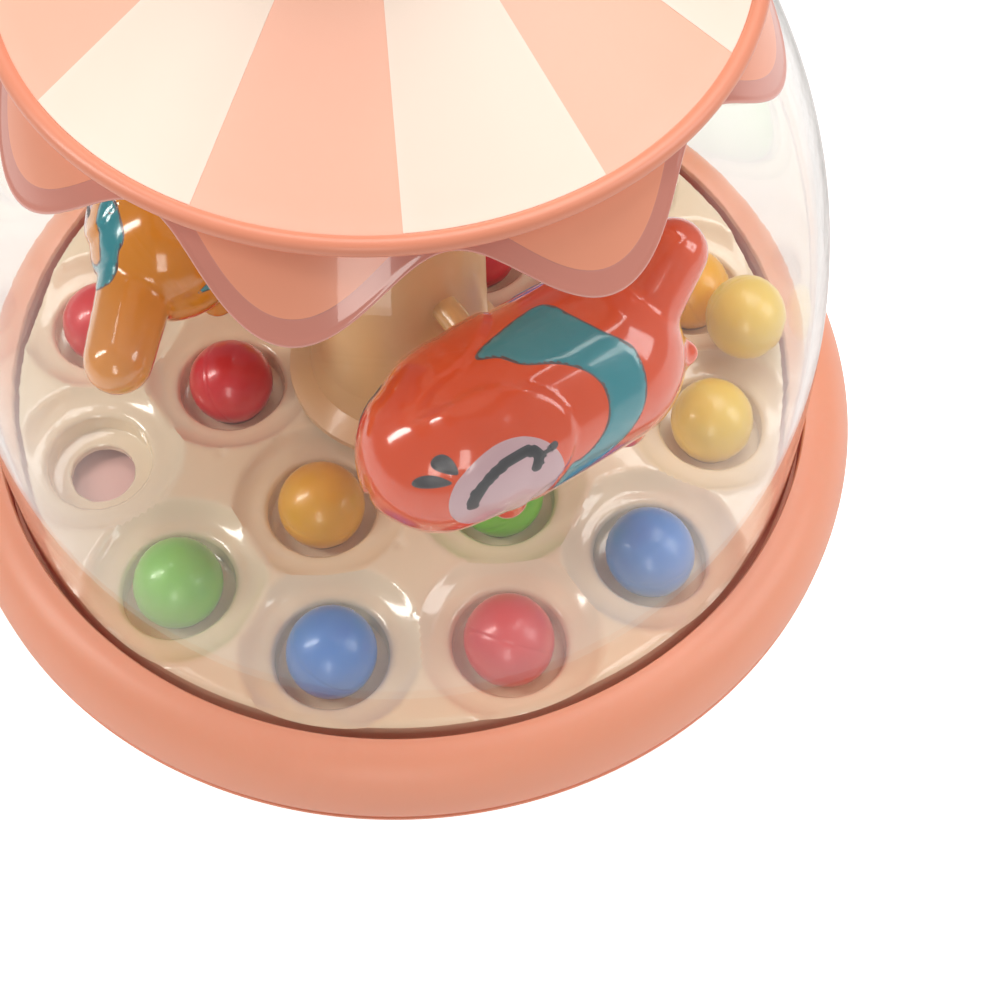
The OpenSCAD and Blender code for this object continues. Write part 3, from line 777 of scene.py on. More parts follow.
@dataclass(frozen=True)
class FloorFinish(Finish):
    """The pale studio floor."""

    def fill(self, tree: bpy.types.NodeTree, shader: bpy.types.Node) -> None:
        """Lift the floor to paper white, so that only a soft shadow stays.

        Args:
            tree: The node tree to work in.
            shader: The material's Principled shader.
        """
        where = here(tree)
        paper = noise(tree, where, 40.0, 4.0)
        color = mix_colors(tree, math_node(tree, "MULTIPLY", paper, 0.02), opaque(self.color), (0.9, 0.9, 0.9, 1))
        tree.links.new(color, shader.inputs["Base Color"])
        shader.inputs["Roughness"].default_value = 0.9
        shader.inputs["Emission Color"].default_value = (1, 1, 1, 1)
        ray = add_node(tree, "ShaderNodeLightPath")
        glow = math_node(tree, "MULTIPLY_ADD", ray.outputs["Is Camera Ray"], 0.92, 0.03)
        tree.links.new(glow, shader.inputs["Emission Strength"])


SALMON = MouldedFinish(
    "salmon_shell", srgb(238, 160, 130), roughness=0.42, coat=0.1, coat_roughness=0.3, swirl=0.03, grain=2600.0,
    depth=0.02, dust=0.03, soft=0.2
)
SKIRT = MouldedFinish(
    "salmon_skirt", srgb(244, 162, 130), roughness=0.25, coat=0.8, coat_roughness=0.05, swirl=0.04, rub=0.1
)
# Painted shade: a darker red for the deep, shaded gap between the ring and the dome.
GAP_SHADE = MouldedFinish("gap_shade", srgb(206, 70, 40), roughness=0.5, swirl=0.03)
BEAD = MouldedFinish("salmon_bead", srgb(226, 142, 112), roughness=0.4, coat=0.2, coat_roughness=0.2, swirl=0.03)
# Painted reflection: a darker mauve tint for the dark, cool light that the skirt's bevelled border catches.
BORDER_REFLECTION = MouldedFinish(
    "mauve_border", srgb(214, 140, 124), roughness=0.18, coat=1.0, coat_roughness=0.03, swirl=0.04, rub=0.5
)
ROSE = MouldedFinish(
    "rose_stripe", srgb(248, 188, 164), roughness=0.4, coat=0.15, coat_roughness=0.25, swirl=0.03, dust=0.03
)
IVORY = MouldedFinish(
    "ivory_inlay", srgb(246, 224, 208), roughness=0.42, coat=0.15, coat_roughness=0.3, swirl=0.02, dust=0.03
)
CREAM = MouldedFinish(
    "cream_tray", srgb(240, 220, 190), roughness=0.16, coat=0.9, coat_roughness=0.04, swirl=0.03, grain=900.0,
    depth=0.03, rub=0.1
)
CLEAR = ClearFinish("clear_shell", (0.985, 0.99, 0.985))
PINK = MouldedFinish("pink_rotor", srgb(240, 190, 182), roughness=0.4)
GOLD = MouldedFinish("golden_column", srgb(226, 178, 110), roughness=0.2, coat=0.6, swirl=0.08)
BEIGE = MouldedFinish("beige_column", srgb(228, 184, 134), roughness=0.3, coat=0.2, swirl=0.08)
AMBER_COAT = MouldedFinish(
    "amber_coat", srgb(226, 140, 18), roughness=0.16, coat=1.0, coat_roughness=0.03, swirl=0.08, rub=0.15
)
ORANGE_COAT = MouldedFinish(
    "orange_coat", srgb(232, 76, 8), roughness=0.16, coat=1.0, coat_roughness=0.03, swirl=0.1, rub=0.15
)
BLUSH_COAT = MouldedFinish(
    "blush_coat", srgb(232, 134, 150), roughness=0.16, coat=1.0, coat_roughness=0.03, swirl=0.08, rub=0.15
)
TEAL = MouldedFinish("teal_mane", srgb(38, 142, 156), roughness=0.2, coat=0.9, coat_roughness=0.04, swirl=0.05)
TEAL_KNOB = MouldedFinish(
    "teal_knob", srgb(84, 166, 172), roughness=0.28, coat=0.6, coat_roughness=0.08, swirl=0.04, dust=0.03
)
IVORY_MANE = MouldedFinish("ivory_mane", srgb(248, 232, 214), roughness=0.2, coat=0.8, coat_roughness=0.05)
FACE = MouldedFinish(
    "face_print", srgb(208, 172, 180), roughness=0.24, coat=0.7, coat_roughness=0.05, swirl=0.03, grain=4200.0
)
INK = MouldedFinish(
    "slate_print", srgb(32, 32, 42), roughness=0.4, coat=0.2, coat_roughness=0.1, swirl=0.03, grain=4200.0
)
OUTLINE = MouldedFinish("deep_outline", srgb(84, 60, 62), roughness=0.35, coat=0.4, coat_roughness=0.1, grain=4200.0)
WHITE = MouldedFinish("slippery_white", srgb(240, 238, 232), roughness=0.38)
PALE_BLUE = MouldedFinish("pale_blue", srgb(150, 190, 206), roughness=0.4)
CORAL = MouldedFinish("coral_pawl", srgb(214, 116, 80), roughness=0.4)
BLACK = MouldedFinish("charcoal_plastic", srgb(52, 52, 56), roughness=0.5, grain=900.0, depth=0.05, rub=0.5)
RUBBER = MouldedFinish("soft_rubber", srgb(74, 74, 78), roughness=0.75, grain=700.0, depth=0.08, rub=0.3, dust=0.1)
BOARD = BandedFinish("board_mask", srgb(40, 112, 72), second=srgb(60, 140, 92), pitch=320.0, axis=1)
CELL = BandedFinish("cell_sleeve", srgb(84, 120, 80), second=srgb(206, 190, 130), pitch=23.0, axis=0)
STEEL = MetalFinish("drawn_steel", (0.68, 0.69, 0.71), roughness=0.24)
ZINC = MetalFinish("zinc_plate", (0.62, 0.62, 0.60), roughness=0.38, lines=(900.0, 900.0, 900.0))


def ball_finish(name: str, red: int, green: int, blue: int, swirl: float = 0.06) -> MouldedFinish:
    """A ball's satin plastic in its own colour."""
    return MouldedFinish(
        name, srgb(red, green, blue), roughness=0.34, coat=0.35, coat_roughness=0.12, swirl=swirl, rub=0.0, soft=0.15
    )


BALL_FINISHES = {
    "ball_yellow": ball_finish("yellow_ball", 238, 200, 72),
    "ball_amber": ball_finish("amber_ball", 236, 170, 10, 0.08),
    "ball_green": ball_finish("green_ball", 116, 196, 30),
    "ball_blue": ball_finish("blue_ball", 40, 122, 206),
    "ball_coral": ball_finish("coral_ball", 214, 44, 52),
    "ball_red": MouldedFinish(
        "red_ball", srgb(216, 8, 26), roughness=0.3, coat=0.45, coat_roughness=0.1, swirl=0.06, rub=0.0, soft=0.1
    ),
}


# ---------------------------------------------------------------- geometry trees


class GrownTree:
    """A geometry-node tree with named inputs, ending in Realize Instances and Set Material."""

    def __init__(self, name: str) -> None:
        """Start an empty tree.

        Args:
            name: The tree's name.
        """
        self.name = name
        self.tree = bpy.data.node_groups.new(name, "GeometryNodeTree")
        self.tree.interface.new_socket("Geometry", in_out="OUTPUT", socket_type="NodeSocketGeometry")
        self.enter = self.tree.nodes.new("NodeGroupInput")
        self.leave = self.tree.nodes.new("NodeGroupOutput")

    def size(self, name: str, kind: str = "NodeSocketFloat") -> bpy.types.NodeSocket:
        """Add a named input and return its socket inside the tree."""
        self.tree.interface.new_socket(name, in_out="INPUT", socket_type=kind)
        return self.enter.outputs[name]

    def add(self, kind: str, inputs: Optional[dict] = None, **facts: object) -> bpy.types.Node:
        """Add a node to the tree. See add_node."""
        return add_node(self.tree, kind, inputs, **facts)

    def calc(self, operation: str, *values: object, clamp: bool = False) -> bpy.types.NodeSocket:
        """Add a Math node and return its output."""
        return math_node(self.tree, operation, *values, clamp=clamp)

    def close(self, geometry: bpy.types.NodeSocket, finish: Finish) -> None:
        """End the tree in Realize Instances and Set Material."""
        real = self.add("GeometryNodeRealizeInstances", {0: geometry})
        painted = self.add("GeometryNodeSetMaterial", {"Geometry": real.outputs[0], "Material": finish.material()})
        self.tree.links.new(painted.outputs[0], self.leave.inputs[0])

    def grow(self, name: str, values: dict, sharp: float = 38.0) -> bpy.types.Object:
        """Bake the tree into a plain mesh object.

        Args:
            name: The piece's name.
            values: The tree's inputs by name.
            sharp: The angle in degrees above which an edge is shaded sharp.

        Returns:
            The finished object, with no modifier left.
        """
        seed = bpy.data.objects.new(name + "_seed", bpy.data.meshes.new(name + "_seed"))
        bpy.context.scene.collection.objects.link(seed)
        modifier = seed.modifiers.new("grow", "NODES")
        modifier.node_group = self.tree
        for item in self.tree.interface.items_tree:
            if item.in_out == "INPUT" and item.name in values:
                modifier[item.identifier] = values[item.name]
        seed.update_tag()
        depsgraph = bpy.context.evaluated_depsgraph_get()
        mesh = bpy.data.meshes.new_from_object(seed.evaluated_get(depsgraph))
        seed.modifiers.clear()
        bpy.data.objects.remove(seed)
        return link_mesh(name, mesh, sharp)


def ring_tree(name: str, finish: Finish, shape: bpy.types.Object) -> GrownTree:
    """A tree that sets copies of a shape round a circle, each turned to face outwards.

    Args:
        name: The tree's name.
        finish: The copies' finish.
        shape: The shape to copy, made at the origin.

    Returns:
        The tree, with inputs Count, Radius, Height and Start.
    """
    grown = GrownTree(name)
    count, radius = grown.size("Count", "NodeSocketInt"), grown.size("Radius")
    height, start = grown.size("Height"), grown.size("Start")
    points = grown.add("GeometryNodePoints", {"Count": count})
    index = grown.add("GeometryNodeInputIndex").outputs[0]
    angle = grown.calc("ADD", start, grown.calc("DIVIDE", grown.calc("MULTIPLY", index, TAU), count))
    where = grown.add("ShaderNodeCombineXYZ", {0: grown.calc("MULTIPLY", radius, grown.calc("COSINE", angle)),
                                               1: grown.calc("MULTIPLY", radius, grown.calc("SINE", angle)), 2: height})
    moved = grown.add("GeometryNodeSetPosition", {"Geometry": points.outputs[0], "Position": where.outputs[0]})
    turned = grown.add("ShaderNodeCombineXYZ", {2: angle})
    source = grown.add("GeometryNodeObjectInfo", {"Object": shape}, transform_space="ORIGINAL")
    copies = grown.add(
        "GeometryNodeInstanceOnPoints",
        {"Points": moved.outputs[0], "Instance": source.outputs["Geometry"], "Rotation": turned.outputs[0]}
    )
    grown.close(copies.outputs[0], finish)
    return grown


def ring_of(
    name: str, finish: Finish, shape: bpy.types.Object, count: int, radius: float, height: float, start: float
) -> bpy.types.Object:
    """Set copies of a shape round a circle and bake them into one piece.

    Args:
        name: The piece's name.
        finish: Its finish.
        shape: The shape to copy, which is removed afterwards.
        count: How many copies there are.
        radius: The circle's radius in metres.
        height: The circle's height in metres.
        start: The first copy's angle in degrees.

    Returns:
        The finished piece.
    """
    grown = ring_tree(name + "_tree", finish, shape)
    made = grown.grow(name, {"Count": count, "Radius": radius, "Height": height, "Start": math.radians(start)})
    bpy.data.objects.remove(shape)
    return made


# ---------------------------------------------------------------- studio


@dataclass
class Studio:
    """The camera, the soft lights and the pale floor."""

    eye: tuple[float, float, float] = (0.0, -0.25658, 0.39795)
    turn: float = 5.14
    tip: float = 59.07
    roll: float = 0.76
    lens: float = 69.2
    aim: tuple[float, float, float] = (0.0, 0.0, 0.07)

    def build(self) -> None:
        """Set up the whole studio."""
        self.place_camera()
        self.light_room()
        self.lay_floor()

    def place_camera(self) -> None:
        """Make the camera look down at the toy from the front."""
        data = bpy.data.cameras.new("camera")
        data.lens, data.sensor_width = self.lens, 36.0
        data.clip_start, data.clip_end = 0.01, 200.0
        camera = bpy.data.objects.new("camera", data)
        bpy.context.scene.collection.objects.link(camera)
        turn, tip, roll = (math.radians(a) for a in (-self.turn, 90 - self.tip, self.roll))
        facing = Matrix.Rotation(turn, 4, "Z") @ Matrix.Rotation(tip, 4, "X")
        camera.matrix_world = Matrix.Translation(self.eye) @ facing @ Matrix.Rotation(roll, 4, "Z")
        bpy.context.scene.camera = camera

    def light(
        self, name: str, bearing: float, height: float, reach: float, size: Point2, power: float,
        tint: Color = (1, 1, 1)
    ) -> None:
        """Hang one soft box.

        Args:
            name: The light's name.
            bearing: Its direction from the toy in degrees, 0 along +X.
            height: Its elevation in degrees.
            reach: Its distance in metres.
            size: Its width and height in metres.
            power: Its power in watts.
            tint: Its colour.
        """
        data = bpy.data.lights.new(name, "AREA")
        data.shape, data.size, data.size_y = "RECTANGLE", size[0], size[1]
        data.energy, data.color = power, tint
        lamp = bpy.data.objects.new(name, data)
        bpy.context.scene.collection.objects.link(lamp)
        b, h = math.radians(bearing), math.radians(height)
        way = Vector((math.cos(b) * math.cos(h), math.sin(b) * math.cos(h), math.sin(h)))
        lamp.location = Vector(self.aim) + way * reach
        lamp.rotation_euler = way.to_track_quat("Z", "Y").to_euler()

    def light_room(self) -> None:
        """Hang the boxes, and fill the room with even light."""
        self.light("window_left", 182, 40, 0.8, (0.12, 0.5), 2.4, (1.0, 0.96, 0.91))
        self.light("window_front", 262, 24, 1.1, (0.24, 0.5), 1.5, (1.0, 0.95, 0.90))
        self.light("sky_panel", 60, 72, 0.8, (0.7, 0.5), 4.6, (1.0, 0.97, 0.94))
        self.light("side_fill", 350, 35, 1.2, (0.5, 0.7), 4.2, (1.0, 0.98, 0.97))
        world = bpy.data.worlds.new("room")
        world.use_nodes = True
        back = next(n for n in world.node_tree.nodes if n.type == "BACKGROUND")
        back.inputs["Color"].default_value = (1.0, 0.97, 0.94, 1)
        back.inputs["Strength"].default_value = 0.27
        bpy.context.scene.world = world
        bpy.context.scene.view_settings.view_transform = "Standard"

    def lay_floor(self) -> None:
        """Lay the floor under the feet."""
        side = 80.0
        floor = make_object(
            "floor", [(-side, -side, 0), (side, -side, 0), (side, side, 0), (-side, side, 0)], [(0, 1, 2, 3)]
        )
        floor.data.materials.append(FloorFinish("paper_floor", (0.95, 0.95, 0.95)).material())


# ---------------------------------------------------------------- small hardware


def cross_screw(name: str, head: float, rise: float, shank: float, length: float, up: bool = False) -> bpy.types.Object:
    """Make a domed screw with a cross recess, standing at the origin with its head down.

    Args:
        name: Its name.
        head: The head's radius.
        rise: The head's height.
        shank: The shank's radius.
        length: The shank's length.
        up: Whether the head points up instead.

    Returns:
        The screw, on the Z axis.
    """
    dome = arc(0, rise * 0.55, head, rise * 0.55, 270, 350, 7)
    outline = [(0.0, 0.0)] + dome[1:] + [(head, rise), (shank, rise)]
    threads = 6
    for i in range(threads):
        z = rise + length * (0.15 + 0.75 * i / threads)
        outline += [(shank * 0.86, z), (shank, z + length * 0.06)]
    outline += [(shank * 0.3, rise + length), (0.0, rise + length)]
    verts, faces = turn_profile(outline, 32, False)
    body = make_object(name, verts, faces, 30)
    bm = bmesh.new()
    for turn in (0, math.pi / 2):
        bmesh.ops.create_cube(
            bm, size=1.0,
            matrix=Matrix.Rotation(turn, 4, "Z") @ Matrix.Diagonal((head * 1.15, head * 0.24, rise * 1.1, 1))
        )
    cutter_mesh = bpy.data.meshes.new(name + "_cross")
    bm.to_mesh(cutter_mesh)
    bm.free()
    cutter = bpy.data.objects.new(name + "_cross", cutter_mesh)
    bpy.context.scene.collection.objects.link(cutter)
    made = cut_away(body, cutter)
    if up:
        made.data.transform(Matrix.Rotation(math.pi, 4, "X"))
    return made


def cut_away(body: bpy.types.Object, cutter: bpy.types.Object, sharp: float = 30.0) -> bpy.types.Object:
    """Cut one closed shape out of another, and remove both.

    Args:
        body: The shape that stays.
        cutter: The shape that is taken away.
        sharp: The angle in degrees above which an edge is shaded sharp.

    Returns:
        The result, under the body's name.
    """
    modifier = body.modifiers.new("cut", "BOOLEAN")
    modifier.operation, modifier.object, modifier.solver = "DIFFERENCE", cutter, "EXACT"
    modifier.use_self = True
    mesh = bpy.data.meshes.new_from_object(body.evaluated_get(bpy.context.evaluated_depsgraph_get()))
    name = body.name
    body.modifiers.clear()
    bpy.data.objects.remove(cutter)
    bpy.data.objects.remove(body)
    return link_mesh(name, mesh, sharp)


# ---------------------------------------------------------------- base


@dataclass
class BaseShell:
    """The salmon ring with its tub, feet, screws and music module."""

    ring_width: float = 11.7 * MM
    crown_width: float = 10.5 * MM
    belly: float = 6.0 * MM
    seam_lift: float = 3.0 * MM
    groove: float = 0.6 * MM
    lip: float = 1.3 * MM
    wall: float = 2.2 * MM
    screw_count: int = 6
    foot_bevel: float = 0.8 * MM

    def build(self) -> None:
        """Build the base's pieces and dress its CAD nodes."""
        self.build_ring()
        self.build_feet()
        self.build_screws()
        for name, finish in (
            ("base_tub", SALMON), ("battery_box", BLACK), ("batteries", CELL), ("battery_contacts", STEEL),
            ("speaker", BLACK), ("circuit_board", BOARD), ("battery_door", SALMON), ("power_switch", BLACK),
        ):
            dress_node(name, finish)

    def build_ring(self) -> None:
        """Turn the ring: a full crown, a seam groove low on its belly, and a hollow underside."""
        low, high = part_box("base_ring")
        edge, seam, top = high.x, low.z, high.z
        inner = edge - self.ring_width
        belly_z = seam + self.seam_lift
        rise = top - belly_z
        lip = arc(edge - 1.53 * MM, seam - 0.37 * MM, self.lip, self.lip, -110, 15, 12)
        belly = arc(edge - self.belly, belly_z, self.belly, self.belly, -22, 0, 8)
        crown = arc(edge - self.crown_width, belly_z, self.crown_width, rise, 4, 90, 30)
        shoulder = [(inner + 0.35 * MM, top - 0.1 * MM), (inner + 0.05 * MM, top - 0.5 * MM), (inner, top - 1.2 * MM)]
        ledge = top - 10.5 * MM
        tray_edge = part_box("ball_tray")[1].x
        lower = [(inner, ledge), (tray_edge - 2.2 * MM, ledge), (tray_edge - 2.2 * MM, ledge - 2 * MM),
                 (inner - 1.5 * MM, ledge - 2 * MM),
                 (inner - 1.5 * MM, seam), (inner + 2.0 * MM, seam), (inner + 2.0 * MM, top - 3.0 * MM)]
        hollow = arc(edge - self.crown_width, belly_z, self.crown_width - self.wall, rise - self.wall, 80, 0, 10)
        groove = [
            (lip[-1][0] - self.groove, lip[-1][1] + 0.25 * MM), (belly[0][0] - self.groove, belly[0][1] - 0.2 * MM)
        ]
        profile = lip + groove + belly + crown + shoulder + lower + hollow + [(edge - self.wall - 1 * MM, seam)]
        dress(lathe("base_ring_shell", profile, 288), SALMON, Place.BASE, "salmon", "base_ring")
        # A thin dark red sheet on the ring's inner wall: painted shade for the deep gap round the dome's foot.
        face, back = inner - 0.02 * MM, inner + 0.3 * MM
        shade_sheet = [(face, top - 1.4 * MM), (face, ledge + 0.1 * MM), (back, ledge + 0.1 * MM), (back, top - 1.4 * MM)]
        dress(lathe("ring_gap_liner", shade_sheet, 288), GAP_SHADE, Place.BASE, "salmon")

    def build_feet(self) -> None:
        """Set four soft feet round the tub's floor."""
        low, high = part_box("rubber_feet")
        radius = 7.0 * MM
        circle = (high.x - radius) * math.sqrt(2)
        tall = high.z - low.z
        bevel = self.foot_bevel
        foot = lathe(
            "foot_blank",
            rounded([(0, 0, 0), (radius - bevel, 0, 0.5 * MM), (radius, tall * 0.5, 0.4 * MM), (radius, tall, 0),
                     (0, tall, 0)][::-1]),
            48, False
        )
        feet = ring_of("rubber_feet_set", RUBBER, foot, 4, circle, 0.0, 45)
        dress(feet, RUBBER, Place.BASE, "rubber", "rubber_feet")

    def build_screws(self) -> None:
        """Sink six cross-head screws into the tub's flange, and one into the battery door."""
        low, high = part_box("base_screws")
        head = 2.8 * MM
        screw = cross_screw("base_screw_blank", head, 1.7 * MM, 1.3 * MM, high.z - low.z - 1.7 * MM)
        screws = ring_of("base_screw_set", ZINC, screw, self.screw_count, high.x - head, low.z, 60)
        dress(screws, ZINC, Place.BASE, "zinc", "base_screws")
        low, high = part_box("door_screw")
        door = cross_screw("door_screw_cross", head, 1.2 * MM, 1.3 * MM, high.z - low.z - 1.2 * MM)
        door.data.transform(Matrix.Translation((0, (low.y + high.y) / 2, low.z)))
        dress(door, ZINC, Place.DOOR, "zinc", "door_screw")


# ---------------------------------------------------------------- ball tray


@dataclass
class BallTray:
    """The glossy tray, whose craters meet in soft ridges, and its balls."""

    socket_gap: float = 2.65 * MM
    spread: float = 7.4 * MM
    depth: float = 3.0 * MM
    hub_radius: float = 19.5 * MM
    step: float = 1.1 * MM
    lip: float = 1.3 * MM
    lip_drop: float = 0.7 * MM
    bowl_power: float = 2.4
    ridge_power: int = 6
    rim_width: float = 1.2 * MM
    rim_drop: float = 0.5 * MM
    dimple: float = 1.5 * MM
    dimple_drop: float = 0.7 * MM
    dimple_start: float = -94.0
    dimple_reach: float = 7.0 * MM
    seam_width: float = 0.28 * MM
    seam_depth: float = 0.12 * MM
    outer_count: int = 12
    inner_count: int = 6
    margin: float = 0.4 * MM
    cup_wall: float = 1.8 * MM
    wall: float = 1.9 * MM
    thick: float = 4.6 * MM
    steps: int = 72
    edge_steps: int = 480
    centres: list[Point2] = field(default_factory=list)

    def __post_init__(self) -> None:
        """Read the socket centres from the balls."""
        low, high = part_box("ball_outer_1")
        self.ball = (high.z - low.z) / 2
        self.rest = (high.z + low.z) / 2
        ring = math.hypot((low.x + high.x) / 2, (low.y + high.y) / 2)
        start = math.atan2((low.y + high.y) / 2, (low.x + high.x) / 2)
        for i in range(self.outer_count):
            a = start + TAU * i / self.outer_count
            self.centres.append((ring * math.cos(a), ring * math.sin(a)))
        for i in range(1, self.inner_count + 1):
            low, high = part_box(f"ball_inner_{i}")
            self.centres.append(((low.x + high.x) / 2, (low.y + high.y) / 2))
        self.socket = self.ball + self.socket_gap
        low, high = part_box("ball_tray")
        self.edge, self.top, self.foot = high.x, high.z, low.z

    def height(self, flat: np.ndarray) -> np.ndarray:
        """Height of the tray's face at points in the plane.

        Args:
            flat: Places in the plane, one to a row.

        Returns:
            Each place's height, in metres.
        """
        centres = np.array(self.centres)
        away = np.linalg.norm(flat[:, None, :] - centres[None], axis=2)
        inward = np.clip((self.socket + self.spread - away) / self.spread, 0, 1)
        bowl = self.depth * (1 - (1 - inward) ** self.bowl_power)
        drop = (np.sum(bowl**self.ridge_power, axis=1)) ** (1 / self.ridge_power)
        lip = np.clip(1 - (np.min(away, axis=1) - self.socket) / self.lip, 0, 1)
        drop += self.lip_drop * lip**2
        rim = np.clip(1 - (self.edge - np.linalg.norm(flat, axis=1)) / self.rim_width, 0, 1)
        drop += self.rim_drop * rim**2
        for k in range(self.inner_count):
            a = math.radians(self.dimple_start) + TAU * k / self.inner_count
            reach = math.hypot(*centres[self.outer_count]) + self.dimple_reach
            spot = np.array([reach * math.cos(a), reach * math.sin(a)])
            near = np.clip(1 - np.linalg.norm(flat - spot, axis=1) / self.dimple, 0, 1)
            drop += self.dimple_drop * near**2 * (3 - 2 * near)
        return self.top - drop

    def build(self) -> None:
        """Build the tray, then its balls."""
        self.build_tray()
        for i in range(1, self.outer_count + 1):
            self.build_ball(f"ball_outer_{i}", i)
        for i in range(1, self.inner_count + 1):
            self.build_ball(f"ball_inner_{i}", self.outer_count + i)

    def clear_of_cups(self, points: np.ndarray, edge: float, hub: float, cup: float) -> np.ndarray:
        """Tell which points lie inside the edge, outside the hub and clear of every cup."""
        out = np.linalg.norm(points, axis=1)
        near = np.min(np.linalg.norm(points[:, None] - np.array(self.centres)[None], axis=2), axis=1)
        return (out < edge) & (out > hub) & (near > cup)

    def build_tray(self) -> None:
        """Shape the face from its rule, and hang a cup under each socket."""
        loops = [circle(self.edge, self.edge_steps), circle(self.hub_radius, self.steps)]
        loops += [circle(self.socket, self.steps, c) for c in self.centres]
        lattice = hex_points((-self.edge, -self.edge), (self.edge, self.edge), self.step)
        lattice = lattice[
            self.clear_of_cups(lattice, self.edge - self.margin, self.hub_radius + self.margin, self.socket + 1.5 * MM)
        ]
        rings = np.vstack([circle(self.socket + gap * MM, self.steps, c) for gap in (0.45, 0.9) for c in self.centres])
        rings = rings[
            self.clear_of_cups(rings, self.edge - self.margin, self.hub_radius + self.margin, self.socket + self.margin)
        ]
        flat, tris = fill_loops(
            loops, np.vstack([lattice, rings]),
            lambda c: self.clear_of_cups(c, self.edge, self.hub_radius, self.socket)
        )
        points = np.column_stack([flat, self.height(flat)]).tolist()
        faces = [tuple(t) for t in tris]
        for centre in self.centres:
            first = len(points)
            for r, z in self.cup_profile():
                points += [(x, y, z) for x, y in circle(r, self.steps, centre)]
            for row in range(first, len(points) - self.steps, self.steps):
                for k in range(self.steps):
                    m = (k + 1) % self.steps
                    faces.append((row + k, row + m, row + self.steps + m, row + self.steps + k))
        tray = make_object("ball_tray_face", points, faces, 42)
        self.close_underside(tray)
        dress(tray, CREAM, Place.BASE, "cream", "ball_tray")

    def cup_profile(self) -> list[Point2]:
        """A socket's cup, from its mouth down round its floor and up its outside.

        Returns:
            The cup's outline as (radius, height).
        """
        mouth = self.top - self.depth - self.lip_drop
        hole, outside = self.ball - 2.2 * MM, self.socket + self.cup_wall
        floor = self.rest - math.sqrt(self.ball**2 - hole**2)
        under, side = floor - 1.9 * MM, self.socket - 0.15 * MM
        return [(self.socket, mouth), (side, mouth - 0.5 * MM), (side, floor + 1.2 * MM),
                (self.socket - 0.5 * MM, floor + 0.3 * MM),
                (self.socket - 1.3 * MM, floor), (hole + 0.3 * MM, floor), (hole, floor - 0.3 * MM), (hole, under),
                (outside, under),
                (outside, self.top - self.thick)]

    def close_underside(self, tray: bpy.types.Object) -> None:
        """Give the tray its skirt and underside, so that it is a closed moulding.

        Args:
            tray: The tray's object.
        """
        below, cup, inner = self.top - self.thick, self.socket + self.cup_wall, self.edge - self.wall
        loops = [
            circle(inner, self.edge_steps), circle(self.hub_radius, self.steps)
        ] + [circle(cup, self.steps, c) for c in self.centres]
        grid = hex_points((-self.edge, -self.edge), (self.edge, self.edge), 6 * MM)
        grid = grid[self.clear_of_cups(grid, self.edge - 3 * MM, self.hub_radius, cup)]
        flat, tris = fill_loops(loops, grid, lambda c: self.clear_of_cups(c, inner, self.hub_radius, cup))
        bm = bmesh.new()
        bm.from_mesh(tray.data)
        made = [bm.verts.new((x, y, below)) for x, y in flat]
        for a, b, c in tris:
            bm.faces.new((made[a], made[b], made[c]))

        def row(flat: np.ndarray, heights: Sequence[float]) -> list[bmesh.types.BMVert]:
            """Add a ring of points at the given heights."""
            return [bm.verts.new((x, y, z)) for (x, y), z in zip(flat, heights)]

        outside, inside_wall = circle(self.edge, self.edge_steps), circle(inner, self.edge_steps)
        hub = circle(self.hub_radius, self.steps)
        foot, level = [self.foot] * self.edge_steps, [below] * self.edge_steps
        skirt = [
            row(outside, self.height(outside)), row(outside, foot), row(inside_wall, foot), row(inside_wall, level)
        ]
        for strip in (skirt, [row(hub, self.height(hub)), row(hub, level)]):
            for upper, lower in zip(strip, strip[1:]):
                for k in range(len(upper)):
                    m = (k + 1) % len(upper)
                    bm.faces.new((upper[k], upper[m], lower[m], lower[k]))
        bmesh.ops.remove_doubles(bm, verts=bm.verts, dist=5e-6)
        bmesh.ops.recalc_face_normals(bm, faces=bm.faces)
        bm.to_mesh(tray.data)
        bm.free()
        tray.data.shade_smooth()
        tray.data.set_sharp_from_angle(angle=math.radians(42))

    def build_ball(self, node: str, number: int) -> None:
        """Turn a two-part ball with a fine seam, and lay its seam at its own tilt.

        Args:
            node: The ball's CAD node.
            number: The ball's number, which sets its tilt.
        """
        low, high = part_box(node)
        centre = (low + high) / 2
        radius = self.ball
        seam = math.degrees(self.seam_width / radius)
        halves = arc(0, 0, radius, radius, -90, -seam, 26), arc(0, 0, radius, radius, seam, 90, 26)
        outline = halves[0] + [(radius - self.seam_depth, 0.0)] + halves[1]
        outline[0], outline[-1] = (0.0, -radius), (0.0, radius)
        ball = lathe(node + "_shell", outline, 72, False, 60)
        tilt = Matrix.Rotation(math.radians(14 + 23 * (number % 3)), 4, "X")
        spin = Matrix.Rotation(math.radians(47 * number), 4, "Z")
        ball.data.transform(Matrix.Translation(centre) @ spin @ tilt)
        slot = record_slot(node)
        dress(ball, BALL_FINISHES[slot], node, slot, node)


# ---------------------------------------------------------------- dome


